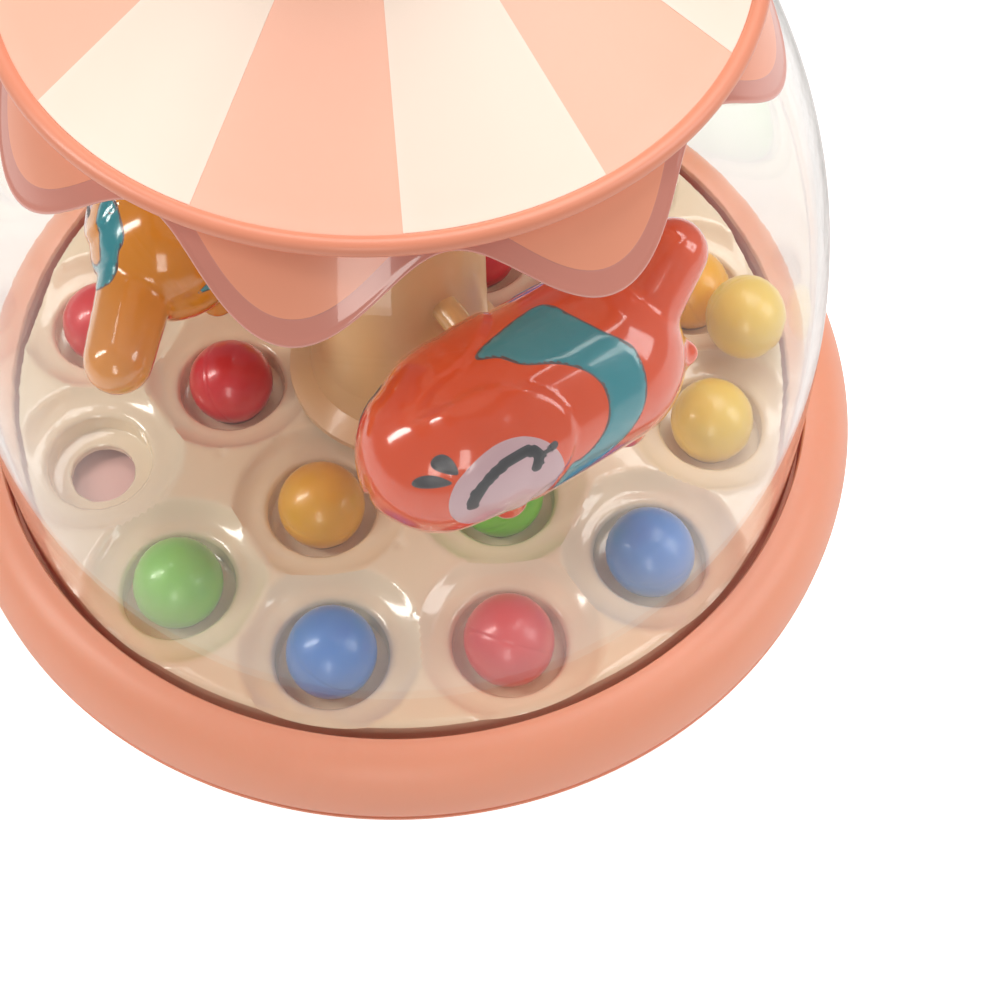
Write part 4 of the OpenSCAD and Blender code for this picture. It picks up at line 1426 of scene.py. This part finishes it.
@dataclass
class ClearDome:
    """The clear shell, straight at its foot and rounded in at its shoulder."""

    wall: float = 2.0 * MM
    straight: float = 31.0 * MM
    inset: float = 30.5 * MM
    power: float = 2.45
    rows: int = 46

    def __post_init__(self) -> None:
        """Read the shell's foot, mouth and radius from its node."""
        low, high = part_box("clear_dome")
        self.radius, self.foot, self.mouth = high.x, low.z, high.z

    def outer(self, z: float) -> float:
        """The outside radius at a height."""
        t = (z - self.foot - self.straight) / (self.mouth - self.foot - self.straight)
        return self.radius - self.inset * max(0.0, min(1.0, t)) ** self.power

    def build(self) -> None:
        """Turn the shell with a rounded mouth and foot."""
        bend = self.foot + self.straight
        heights = [self.foot + 0.4 * MM] + [
            bend + (self.mouth - bend - 0.4 * MM) * i / self.rows for i in range(self.rows + 1)
        ]
        outer = [(self.outer(z), z) for z in heights]
        inner = [(self.outer(z) - self.wall, z) for z in heights]
        profile = [(self.radius - 0.5 * MM, self.foot)] + outer + [
            (outer[-1][0] - 0.5 * MM, self.mouth), (inner[-1][0] + 0.5 * MM, self.mouth)
        ]
        profile += inner[::-1] + [(self.radius - self.wall + 0.5 * MM, self.foot)]
        dress(lathe("clear_dome_shell", profile, 320, True, 50), CLEAR, Place.BASE, "clear", "clear_dome")


# ---------------------------------------------------------------- roof


@dataclass
class StripedRoof:
    """The roof cone with its ivory inlays, its scalloped skirt and the deck it stands on."""

    dome: ClearDome
    wall: float = 2.2 * MM
    inlay: float = 0.7 * MM
    bead: float = 1.7 * MM
    rise: float = 32.0 * MM
    inner: float = 14.0 * MM
    pairs: int = 6
    start: float = -88.8
    lobes: int = 8
    lobe_start: float = -60.0
    border: float = 4.8 * MM
    skirt_wall: float = 1.8 * MM
    skirt_gap: float = 0.8 * MM

    def __post_init__(self) -> None:
        """Read the roof's rim from its nodes."""
        self.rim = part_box("roof_cone")[1].x - 3.5 * MM
        self.rim_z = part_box("roof_cone")[1].z + 3 * MM - self.rise

    def cone(self, radius: float) -> float:
        """Height of the roof's outer face at a radius."""
        return self.rim_z + self.rise * (1 - radius / self.rim)

    def build(self) -> None:
        """Build the cone, the inlays, the skirt and the deck's screws."""
        self.build_cone()
        self.build_inlays()
        self.build_skirt()
        low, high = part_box("deck_screws")
        screw = cross_screw("deck_screw_blank", 2.8 * MM, 1.7 * MM, 1.3 * MM, high.z - low.z - 1.7 * MM)
        screws = ring_of("deck_screw_set", ZINC, screw, 3, 48 * MM, low.z, 30)
        dress(screws, ZINC, Place.BASE, "zinc", "deck_screws")
        dress_node("roof_deck", IVORY)
        dress_node("top_bush", WHITE)

    def build_cone(self) -> None:
        """Turn the cone with its collar and round bead, its face a hair below the line the inlays follow."""
        collar_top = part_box("roof_cone")[1].z
        hole = 8.5 * MM
        collar = 11.5 * MM
        slope = math.atan2(self.rise, self.rim)
        drop = self.wall / math.cos(slope)
        bead_r, bead_z = self.rim + 1.6 * MM, self.rim_z - 1.2 * MM
        bead = arc(bead_r, bead_z, self.bead, self.bead, 0, 360, 28)[:-1]
        skin = 0.04 * MM
        under = [
            (self.rim - 1 * MM, self.rim_z - drop), (collar, self.cone(collar) - drop),
            (hole, self.cone(collar) - drop)
        ]
        top = [(hole, collar_top - 0.4 * MM), (hole + 0.4 * MM, collar_top), (collar - 0.6 * MM, collar_top),
               (collar, collar_top - 0.6 * MM),
               (collar, self.cone(collar) + 0.5 * MM), (collar + 0.5 * MM, self.cone(collar + 0.5 * MM) - skin)]
        slopes = [(r, self.cone(r) - skin) for r in np.linspace(collar + 1 * MM, self.rim + 0.8 * MM, 14)]
        edge = [(self.rim + 0.9 * MM, self.rim_z - 1.2 * MM)]
        dress(
            lathe("roof_cone_shell", top + slopes + edge + under, 288, True, 34), ROSE, Place.BASE, "rose", "roof_cone"
        )
        dress(lathe("roof_bead", bead, 288, True, 60), BEAD, Place.BASE, "rose")

    def build_inlays(self) -> None:
        """Lay an ivory inlay in every second stripe."""
        sweep = math.pi / self.pairs
        rows, cols = 16, 18
        out = self.rim + 0.2 * MM
        top, bottom = [], []
        for j in range(rows + 1):
            r = self.inner + (out - self.inner) * j / rows
            for i in range(cols + 1):
                a = sweep * i / cols
                top.append((r * math.cos(a), r * math.sin(a), self.cone(r) + 0.05 * MM))
                bottom.append((r * math.cos(a), r * math.sin(a), self.cone(r) - self.inlay))
        quads = [
            (j * (cols + 1) + i, (j + 1) * (cols + 1) + i, (j + 1) * (cols + 1) + i + 1, j * (cols + 1) + i + 1)
            for j in range(rows) for i in range(cols)
        ]
        rim = [i for i in range(cols + 1)] + [(j + 1) * (cols + 1) + cols for j in range(rows)]
        rim += [
            rows * (cols + 1) + i for i in range(cols - 1, -1, -1)
        ] + [j * (cols + 1) for j in range(rows - 1, 0, -1)]
        count = len(top)
        faces = quads + [tuple(count + v for v in q[::-1]) for q in quads]
        faces += [
            (rim[k], rim[(k + 1) % len(rim)], count + rim[(k + 1) % len(rim)], count + rim[k]) for k in range(len(rim))
        ]
        blank = make_object("inlay_blank", top + bottom, faces, 30)
        inlays = ring_of("roof_inlays", IVORY, blank, self.pairs, 0.0, 0.0, self.start)
        dress(inlays, IVORY, Place.BASE, "ivory", "roof_panels")

    def skirt_tree(self, finish: Finish) -> GrownTree:
        """The skirt's rule: a sheet that follows the dome's shoulder, with cosine lobes along its lower edge.

        Args:
            finish: The finish that dresses it.

        Returns:
            The tree, ready to grow.
        """
        grown = GrownTree("skirt_" + finish.name)
        names = [
            "Top", "Middle", "Drop", "Lobes", "Lobe Start", "Lift", "Band", "Fill", "Bend", "Mouth", "Radius", "Inset",
            "Power", "Stand", "Recess", "Lip"
        ]
        size = {n: grown.size(n) for n in names}
        columns, rows = grown.size("Columns", "NodeSocketInt"), grown.size("Rows", "NodeSocketInt")
        grid = grown.add(
            "GeometryNodeMeshGrid", {"Size X": 1.0, "Size Y": 1.0, "Vertices X": columns, "Vertices Y": rows}
        )
        place = grown.add("ShaderNodeSeparateXYZ", {0: grown.add("GeometryNodeInputPosition").outputs[0]})
        c = grown.calc
        angle = c("MULTIPLY", c("ADD", place.outputs[0], 0.5), TAU)
        v = c("POWER", c("ADD", place.outputs[1], 0.5, clamp=True), 1.6)
        wave = c("COSINE", c("MULTIPLY", size["Lobes"], c("SUBTRACT", angle, size["Lobe Start"])))
        low = c("SUBTRACT", size["Middle"], c("MULTIPLY", c("MULTIPLY", size["Drop"], 0.5), wave))
        start = c("ADD", low, size["Lift"])
        span = c("ADD", size["Band"], c("MULTIPLY", size["Fill"], c("SUBTRACT", size["Top"], start)))
        z = c("ADD", start, c("MULTIPLY", v, span))
        above = c("SUBTRACT", z, low)
        t = c("DIVIDE", c("SUBTRACT", z, size["Bend"]), c("SUBTRACT", size["Mouth"], size["Bend"]), clamp=True)
        round_in = c("SUBTRACT", size["Radius"], c("MULTIPLY", size["Inset"], c("POWER", t, size["Power"])))
        near = c("SUBTRACT", size["Lip"], above)
        inside_lip = c("MAXIMUM", near, 0.0)
        reach = c("SUBTRACT", c("MULTIPLY", size["Lip"], size["Lip"]), c("MULTIPLY", inside_lip, inside_lip))
        curl = c("SUBTRACT", size["Lip"], c("SQRT", c("MAXIMUM", reach, 0.0)))
        sunk = c(
            "MULTIPLY", size["Recess"],
            c("MULTIPLY", c("SUBTRACT", above, c("MULTIPLY", size["Lip"], 1.2)), 1500.0, clamp=True)
        )
        radius = c("SUBTRACT", c("SUBTRACT", c("ADD", round_in, size["Stand"]), curl), sunk)
        where = grown.add(
            "ShaderNodeCombineXYZ",
            {0: c("MULTIPLY", radius, c("COSINE", angle)), 1: c("MULTIPLY", radius, c("SINE", angle)), 2: z}
        )
        shaped = grown.add("GeometryNodeSetPosition", {"Geometry": grid.outputs["Mesh"], "Position": where.outputs[0]})
        welded = grown.add("GeometryNodeMergeByDistance", {"Geometry": shaped.outputs[0], "Distance": 0.00001})
        grown.close(welded.outputs[0], finish)
        return grown

    def build_skirt(self) -> None:
        """Grow the skirt's face and its sunken border, and give both their wall. The border's darker mauve tint is
        painted reflection.
        """
        low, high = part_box("scallop_skirt")
        arch = high.z - 4.7 * MM
        common = {"Top": high.z, "Middle": (low.z + arch) / 2, "Drop": arch - low.z, "Lobes": float(self.lobes),
                  "Lobe Start": math.radians(self.lobe_start),
                  "Bend": self.dome.foot + self.dome.straight, "Mouth": self.dome.mouth, "Radius": self.dome.radius,
                  "Inset": self.dome.inset,
                  "Power": self.dome.power, "Stand": self.skirt_gap + self.skirt_wall, "Lip": 0.8 * MM, "Columns": 433}
        # The border's mauve colour is painted reflection from its bevel.
        for name, finish, values, wall in (
            ("skirt_face", SKIRT, {"Lift": self.border, "Band": 0.0, "Fill": 1.0, "Recess": 0.0, "Rows": 16}, 1.7 * MM),
            (
                "skirt_border", BORDER_REFLECTION,
                {"Lift": 0.0, "Band": self.border, "Fill": 0.0, "Recess": 0.12 * MM, "Rows": 22}, 1.3 * MM
            ),
        ):
            sheet = self.skirt_tree(finish).grow(name, {**common, **values}, 40)
            thick = self.thicken(sheet, wall)
            dress(thick, finish, Place.BASE, "salmon", *(["scallop_skirt"] if name == "skirt_face" else []))

    def thicken(self, sheet: bpy.types.Object, wall: float) -> bpy.types.Object:
        """Give a sheet a wall towards the axis, and return the closed piece.

        Args:
            sheet: The sheet, which is removed afterwards.
            wall: The wall's thickness in metres.

        Returns:
            The closed piece.
        """
        bm = bmesh.new()
        bm.from_mesh(sheet.data)
        outward = sum(
            (f.normal.dot(Vector((f.calc_center_median().x, f.calc_center_median().y, 0)))
             for f in list(bm.faces)[:200]),
            0.0
        )
        if outward < 0:
            bmesh.ops.reverse_faces(bm, faces=bm.faces)
        bm.to_mesh(sheet.data)
        bm.free()
        modifier = sheet.modifiers.new("wall", "SOLIDIFY")
        modifier.thickness, modifier.offset, modifier.use_rim = wall, -1.0, True
        mesh = bpy.data.meshes.new_from_object(sheet.evaluated_get(bpy.context.evaluated_depsgraph_get()))
        name = sheet.name
        sheet.modifiers.clear()
        bpy.data.objects.remove(sheet)
        return link_mesh(name, mesh, 46)


# ---------------------------------------------------------------- ponies


def limb_mesh(start: Vector, end: Vector, first: float, last: float) -> tuple[list, list]:
    """The skin of two balls and everything between them.

    Args:
        start: The first ball's centre.
        end: The second ball's centre.
        first: The first ball's radius.
        last: The second ball's radius.

    Returns:
        The points and the faces.
    """
    bm = bmesh.new()
    for centre, radius in ((start, first), (end, last)):
        bmesh.ops.create_icosphere(bm, subdivisions=4, radius=radius, matrix=Matrix.Translation(centre))
    bmesh.ops.delete(bm, geom=bm.faces[:] + bm.edges[:], context="EDGES_FACES")
    loose = bmesh.ops.convex_hull(bm, input=bm.verts)["geom_interior"]
    bmesh.ops.delete(bm, geom=[g for g in loose if isinstance(g, bmesh.types.BMVert)], context="VERTS")
    bm.verts.index_update()
    verts = [v.co.copy() for v in bm.verts]
    faces = [[v.index for v in f.verts] for f in bm.faces]
    bm.free()
    return verts, faces


def stroke(points: Sequence[Point2], half: float, steps: int = 60) -> np.ndarray:
    """The closed outline of a line of even width with round ends.

    Args:
        points: The line's points.
        half: Half its width.
        steps: How many steps its length has.

    Returns:
        The outline's points.
    """
    knots = np.array(points, float)
    along = np.concatenate([[0], np.cumsum(np.linalg.norm(np.diff(knots, axis=0), axis=1))])
    at = np.linspace(0, along[-1], steps)
    line = np.stack([np.interp(at, along, knots[:, k]) for k in (0, 1)], axis=1)
    for _ in range(steps // 8):
        line[1:-1] = (line[:-2] + 2 * line[1:-1] + line[2:]) / 4
    way = np.gradient(line, axis=0)
    way /= np.linalg.norm(way, axis=1)[:, None]
    side = np.stack([-way[:, 1], way[:, 0]], axis=1) * half
    caps = []
    for tip, first in ((line[-1], side[-1]), (line[0], -side[0])):
        turn = [-math.pi * k / 10 for k in range(1, 10)]
        caps.append(
            [tip + np.array([first[0] * math.cos(a) - first[1] * math.sin(a),
                             first[0] * math.sin(a) + first[1] * math.cos(a)]) for a in turn]
        )
    return np.vstack([line + side, caps[0], (line - side)[::-1], caps[1]])


def grow_outline(outline: np.ndarray, by: float) -> np.ndarray:
    """Move a closed outline outwards.

    Args:
        outline: The closed outline.
        by: How far it moves, in the outline's unit.

    Returns:
        The moved outline.
    """
    way = np.roll(outline, -1, axis=0) - np.roll(outline, 1, axis=0)
    way /= np.linalg.norm(way, axis=1)[:, None]
    area = np.sum(outline[:, 0] * np.roll(outline[:, 1], -1) - np.roll(outline[:, 0], -1) * outline[:, 1])
    out = np.stack([way[:, 1], -way[:, 0]], axis=1) * (1 if area > 0 else -1)
    return outline + out * by


@dataclass(frozen=True)
class Bow:
    """A round stretch of a marking's edge: an ellipse's arc on the flank.

    Its centre and half widths are given as (place along X in mm, angle about X in degrees).
    """

    centre: Point2
    half: Point2
    start: float
    end: float

    def points(self, steps: int = 10) -> list[Point2]:
        """Points along the arc."""
        return arc(*self.centre, *self.half, self.start, self.end, steps)


@dataclass
class Pony:
    """A toy pony with a smooth body, raised cheeks and moulded markings on both flanks.

    Its own frame has X along the body towards the nose, Y outwards from the axis and Z up. Markings are drawn
    as (place along X in mm, angle about X in degrees, 0 outwards and 90 up).
    """

    tint: str
    azimuth: float
    coat: MouldedFinish
    mane: MouldedFinish
    rump: float = -17.5
    fore_leg: float = 10.0
    tail_from: tuple[float, float, float] = (-28.0, 0.0, 8.0)
    tail_to: tuple[float, float, float] = (-37.5, -2.5, 17.5)
    squeeze: float = 1.0
    crest: float = 1.0
    girth: float = 18.6
    circle: float = 48.0 * MM
    height: float = 77.0 * MM
    voxel: float = 0.65 * MM
    cheek_rise: float = 0.9
    lift: float = 0.16 * MM
    far_crest: float = 58.0
    far_squeeze: float = 0.55
    mane_top: tuple = ((9.5, 100.0), (2.5, 107.0), (-6.5, 112.0), (-9.5, 106.0), (-11.0, 92.0), (-14.0, 74.0))
    mane_back: Bow = Bow((2.0, 45.0), (20.2, 59.0), 167.0, 280.0)
    mane_front: Bow = Bow((2.0, 40.0), (11.2, 36.5), 270.0, 168.0)
    mane_neck: tuple = ((-7.0, 59.0), (-3.0, 70.0), (3.0, 80.0), (6.0, 91.0))
    nose: tuple = ((14.0, -40.0), (25.0, -60.0), (42.0, -60.0), (42.0, 110.0), (33.0, 108.0), (27.0, 94.0))
    cheek_back: Bow = Bow((20.0, 35.5), (20.8, 48.5), 90.0, 240.0)
    face_centre: Point2 = (16.0, 3.9)
    face_half: Point2 = (11.9, 11.3)
    face_tilt: float = -13.0
    eye_lid: Bow = Bow((13.0, 9.2), (10.6, 26.0), 0.0, 100.0)
    eye_hook: Bow = Bow((11.0, 27.4), (2.2, 6.8), 110.0, 240.0)
    eye_half: float = 1.45
    tick: tuple = ((9.3, 26.5), (5.2, 29.2))
    lashes: tuple = (((27.0, 57.0), (24.5, 39.0)), ((32.0, 46.0), (26.0, 34.0)))

    def build(self) -> None:
        """Build the coat, then the markings that lie on it."""
        turn = Matrix.Rotation(math.radians(self.azimuth - 90), 4, "Z")
        a = math.radians(self.azimuth)
        self.place = Matrix.Translation((self.circle * math.cos(a), self.circle * math.sin(a), self.height)) @ turn
        body = self.shape_body()
        bm = bmesh.new()
        bm.from_mesh(body.data)
        self.tree = BVHTree.FromBMesh(bm)
        bm.free()
        body.data.transform(self.place)
        dress(body, self.coat, Place.CAROUSEL, record_slot(f"pony_{self.tint}"), f"pony_{self.tint}")
        band = self.crescent()
        slot = record_slot(f"mane_{self.tint}")
        dress(self.mark("crescent", [band], self.lift), self.mane, Place.CAROUSEL, slot, f"mane_{self.tint}")
        dress(self.mark("crescent_edge", [grow_outline(band, 0.3)], self.lift * 0.5), OUTLINE, Place.CAROUSEL, slot)
        dress(self.mark("face", [self.face()], self.lift * 0.6), FACE, Place.CAROUSEL, "ivory")
        eye = self.eye_lid.points() + self.eye_hook.points(5)
        ink = [stroke(self.flat(eye), self.eye_half)] + [self.drop(*lash) for lash in self.lashes]
        dress(self.mark("ink", ink, self.lift * 1.1), INK, Place.CAROUSEL, "black_plastic")
        dress(
            self.mark("ink_tick", [stroke(self.flat(self.tick), 0.8)], self.lift * 1.15), INK, Place.CAROUSEL,
            "black_plastic"
        )

    def limbs(self) -> list[tuple[tuple, tuple, float, float]]:
        """The limbs that make the pony: two ends and two radii each.

        Returns:
            Each limb's two centres and two radii, in mm.
        """
        g, rump = self.girth, self.rump
        parts = [
            ((rump, 0, 0), (6, 0, 0), g, g * 1.01), ((6, 0, 0), (21, 0, -0.6), g * 0.97, g * 0.84),
            ((20, 0, -1), (25, 0, -1.6), g * 0.8, g * 0.64)
        ]
        parts += [((13, y, 2), (15, y, 2), g * 0.84, g * 0.83) for y in (-2.2, 2.2)]
        parts.append((self.tail_from, self.tail_to, 8.2, 7.2))
        for x in (rump - 3, self.fore_leg):
            parts += [((x, y * 8, -9), (x, y * 8.5, 1 - g), 4.9, 4.5) for y in (-1, 1)]
        if self.rump < -10:
            parts.append(((rump - 15.0, 9.0, 0), (rump - 16.0, 9.4, 0), 2.9, 2.9))
        return parts

    def shape_body(self) -> bpy.types.Object:
        """Blend the limbs into one smooth skin, and raise its cheeks.

        Returns:
            The coat's object.
        """
        verts, faces = [], []
        for start, end, first, last in self.limbs():
            some, joined = limb_mesh(Vector(start) * MM, Vector(end) * MM, first * MM, last * MM)
            faces += [[i + len(verts) for i in f] for f in joined]
            verts += some
        raw = bpy.data.meshes.new(f"pony_{self.tint}_raw")
        raw.from_pydata(verts, [], faces)
        blank = bpy.data.objects.new(f"pony_{self.tint}_raw", raw)
        bpy.context.scene.collection.objects.link(blank)
        remesh = blank.modifiers.new("skin", "REMESH")
        remesh.mode, remesh.voxel_size = "VOXEL", self.voxel
        smooth = blank.modifiers.new("blend", "SMOOTH")
        smooth.factor, smooth.iterations = 0.5, 22
        mesh = bpy.data.meshes.new_from_object(blank.evaluated_get(bpy.context.evaluated_depsgraph_get()))
        blank.modifiers.clear()
        bpy.data.objects.remove(blank)
        count = len(mesh.vertices)
        co, normal = np.empty(count * 3), np.empty(count * 3)
        mesh.vertices.foreach_get("co", co)
        mesh.vertices.foreach_get("normal", normal)
        co, normal = co.reshape(-1, 3), normal.reshape(-1, 3)
        around = np.arctan2(co[:, 2], np.abs(co[:, 1])) * self.girth
        flat = np.stack([co[:, 0] / MM, around], axis=1)
        edge = resample(self.flat(self.nose + tuple(self.cheek_back.points())), 160)
        gap = np.min(np.linalg.norm(flat[:, None] - edge[None], axis=2), axis=1) * np.where(inside(flat, edge), 1, -1)
        rise = np.clip((gap + 0.5) / 2.2, 0, 1)
        co += normal * (rise**2 * (3 - 2 * rise) * self.cheek_rise * MM)[:, None]
        mesh.vertices.foreach_set("co", co.ravel())
        return link_mesh(f"pony_{self.tint}_coat", mesh, 70)

    def flat(self, marks: Sequence[Point2]) -> list[Point2]:
        """Lay marks given as place and angle out flat, in mm."""
        return [(x, math.radians(turn) * self.girth) for x, turn in marks]

    def crescent(self) -> np.ndarray:
        """The mane's crescent, laid out flat."""
        edge = [*self.mane_top, *self.mane_back.points(12), *self.mane_front.points(8), *self.mane_neck]
        outline = [(4 + (x - 4) * self.squeeze if x < 4 else x, turn * self.crest) for x, turn in edge]
        return resample(self.flat(outline), 260)

    def face(self) -> np.ndarray:
        """The pale oval round the eye, laid out flat."""
        tilt = math.radians(self.face_tilt)
        turn = np.array([[math.cos(tilt), math.sin(tilt)], [-math.sin(tilt), math.cos(tilt)]])
        return np.array(arc(0, 0, *self.face_half, 0, 356.25, 95)) @ turn + np.array(self.face_centre)

    def drop(self, butt: Point2, tip: Point2) -> np.ndarray:
        """A lash: a drop with its blunt end forward, laid out flat.

        Args:
            butt: The blunt end, as place and angle.
            tip: The pointed end, as place and angle.

        Returns:
            Its outline, in mm.
        """
        (bx, by), (tx, ty) = self.flat((butt, tip))
        length = math.hypot(tx - bx, ty - by)
        ux, uy = (tx - bx) / length, (ty - by) / length
        outline = []
        for k in range(40):
            t = TAU * k / 40
            along = (1 - math.cos(t)) / 2
            wide = 2.3 * math.sin(t) * (1 - 0.6 * along)
            outline.append((bx + ux * along * length - uy * wide, by + uy * along * length + ux * wide))
        return np.array(outline)

    def far_outline(self, outline: np.ndarray) -> np.ndarray:
        """The far flank's marking: cut off where it would cross the back, and set lower.

        Args:
            outline: The near flank's outline, in mm.

        Returns:
            The far flank's outline, in mm.
        """
        crest = math.radians(self.far_crest) * self.girth
        kept = outline[outline[:, 1] < crest] if outline[:, 1].max() > 1.5 * crest else outline
        if len(kept) < 24:
            kept = outline
        return kept * np.array([1.0, self.far_squeeze])

    def mark(self, name: str, outlines: Sequence[np.ndarray], lift: float) -> bpy.types.Object:
        """Lay flat shapes on both flanks as thin raised patches.

        Args:
            name: The marking's name.
            outlines: The shapes' outlines, laid out flat.
            lift: How far they stand proud, in metres.

        Returns:
            One piece with all the patches.
        """
        verts, faces = [], []
        far_side = [self.far_outline(outline) for outline in outlines]
        for outline, flank in [(o, 1) for o in outlines] + [(o, -1) for o in far_side]:
            low, high = outline.min(axis=0), outline.max(axis=0)
            grid = hex_points(low, high, 0.8)
            near = np.min(np.linalg.norm(grid[:, None] - outline[None], axis=2), axis=1)
            flat, tris = fill_loops(
                [outline], grid[inside(grid, outline) & (near > 0.35)], lambda c: inside(c, outline)
            )
            sides = {(a, b) for t in tris for a, b in zip(t, t[1:] + t[:1])}
            rim = sorted((a, b) for a, b in sides if (b, a) not in sides)
            edge = {a for a, _ in rim}
            n, first = len(flat), len(verts)
            top, bottom = [], []
            for i, (x, s) in enumerate(flat):
                turn = s / self.girth
                out = Vector((0, flank * math.cos(turn), math.sin(turn)))
                far = Vector((x * MM, 0, 0)) + out * 60 * MM
                hit = self.tree.ray_cast(far, -out)[0] or self.tree.find_nearest(far)[0]
                top.append(hit + out * (lift * (0.2 if i in edge else 1.0)))
                bottom.append(hit - out * 0.35 * MM)
            verts += top + bottom
            walls = [(b, a, n + a, n + b) for a, b in rim]
            faces += [
                tuple(first + i for i in f) for f in [tuple(t) for t in tris] + [(n + a, n + c, n + b) for a, b,
                                                                                 c in tris] + walls
            ]
        obj = make_object(f"pony_{self.tint}_{name}", verts, faces, 60)
        obj.data.transform(self.place)
        return obj


# ---------------------------------------------------------------- carousel


@dataclass
class Carousel:
    """What turns: the rotor with its kickers, the column and its arms."""

    nodes: tuple = (
        ("kicker_disc", PINK), ("column", BEIGE), ("pony_arms", GOLD), ("lower_bush", WHITE), ("ratchet_ring", WHITE),
        ("axle", STEEL)
    )

    def build(self) -> None:
        """Dress the rotor's CAD nodes."""
        for name, finish in self.nodes:
            dress_node(name, finish)


# ---------------------------------------------------------------- knob and drive


@dataclass
class PressKnob:
    """The teal press cap on its ivory stem, the twisted rod, the spring and the drive nut."""

    wall: float = 2.4 * MM
    grip: float = 0.7 * MM
    turns: float = 5.5
    wire: float = 0.7 * MM

    def build(self) -> None:
        """Build the cap and the spring, and dress the drive's CAD nodes."""
        self.build_cap()
        dress_node("knob_stem", IVORY)
        dress_node("twist_rod", STEEL)
        dress_node("drive_nut", PALE_BLUE)
        dress_node("clutch_pawls", CORAL)
        self.build_spring()

    def build_cap(self) -> None:
        """Turn the cap: a soft dome with a shallow dish, a grip bead and a hollow underside."""
        low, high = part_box("knob_cap")
        radius, tall = high.x, high.z - low.z
        lip = radius - self.grip
        outer = [(lip - 0.6 * MM, low.z), (lip, low.z + 0.6 * MM), (lip, low.z + 2.4 * MM)]
        outer += [
            (lip + self.grip * math.sin(math.pi * k / 8), low.z + 2.4 * MM + 3.2 * MM * k / 8) for k in range(1, 9)
        ]
        body = arc(0, low.z + 6.4 * MM, lip, tall - 6.4 * MM, 0, 62, 22)
        (rim, level), steps = body[-1], 16
        peak = high.z - level
        dish = [
            (rim * (1 - k / steps), level + peak * math.sin(math.pi * min(1.0, 1.3 * k / steps)) ** 0.8)
            for k in range(1, steps)
        ]
        hollow = arc(0, low.z + 6.4 * MM, lip - self.wall, tall - 6.4 * MM - self.wall, 66, 0, 14)
        profile = outer + body + dish + [(0.0, dish[-1][1]), (0.0, hollow[0][1])] + hollow
        profile += [(lip - self.wall, low.z + 0.4 * MM), (lip - self.wall + 0.4 * MM, low.z)]
        cap = lathe("knob_cap_shell", profile, 224, True, 40)
        dress(cap, TEAL_KNOB, Place.KNOB, "teal", "knob_cap")

    def build_spring(self) -> None:
        """Wind the return spring."""
        low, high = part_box("return_spring")
        radius = (high.x - low.x) / 2 - self.wire
        grown = GrownTree("spring_tree")
        turns, ring, tall, wire = grown.size("Turns"), grown.size("Radius"), grown.size("Height"), grown.size("Wire")
        foot = grown.size("Foot")
        coil = grown.add(
            "GeometryNodeCurveSpiral",
            {"Resolution": 48, "Rotations": turns, "Start Radius": ring, "End Radius": ring, "Height": tall}
        )
        section = grown.add("GeometryNodeCurvePrimitiveCircle", {"Resolution": 14, "Radius": wire})
        drawn = grown.add(
            "GeometryNodeCurveToMesh",
            {"Curve": coil.outputs[0], "Profile Curve": section.outputs[0], "Fill Caps": True}
        )
        lifted = grown.add(
            "GeometryNodeTransform",
            {"Geometry": drawn.outputs[0], "Translation": grown.add("ShaderNodeCombineXYZ", {2: foot}).outputs[0]}
        )
        grown.close(lifted.outputs[0], STEEL)
        length = high.z - low.z
        sizes = {
            "Turns": self.turns, "Radius": radius, "Height": length - 2 * self.wire, "Wire": self.wire,
            "Foot": low.z + self.wire
        }
        spring = grown.grow("return_spring_coil", sizes, 80)
        dress(spring, STEEL, Place.KNOB, "steel", "return_spring")
        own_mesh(spring)


def main() -> None:
    """Build the studio, then the toy's parts in order."""
    logging.basicConfig(level=logging.INFO, format="%(name)s: %(message)s")
    Studio().build()
    dome = ClearDome()
    for part in (
        BaseShell(),
        BallTray(),
        dome,
        StripedRoof(dome),
        Carousel(),
        Pony("orange", -60, ORANGE_COAT, TEAL),
        Pony("pink", 60, BLUSH_COAT, IVORY_MANE, girth=17.5, tail_from=(-22.0, 0.0, 8.0), tail_to=(-38.0, 0.0, 14.0)),
        Pony(
            "amber", 180, AMBER_COAT, TEAL, girth=16.5, rump=3.0, crest=0.55, fore_leg=18.0,
            tail_from=(-6.0, 6.0, 0.0), tail_to=(-25.0, 10.0, -2.0), squeeze=0.7
        ),
        PressKnob(),
    ):
        part.build()
        log.info("finished %s", type(part).__name__)


if __name__ == "__main__":
    main()
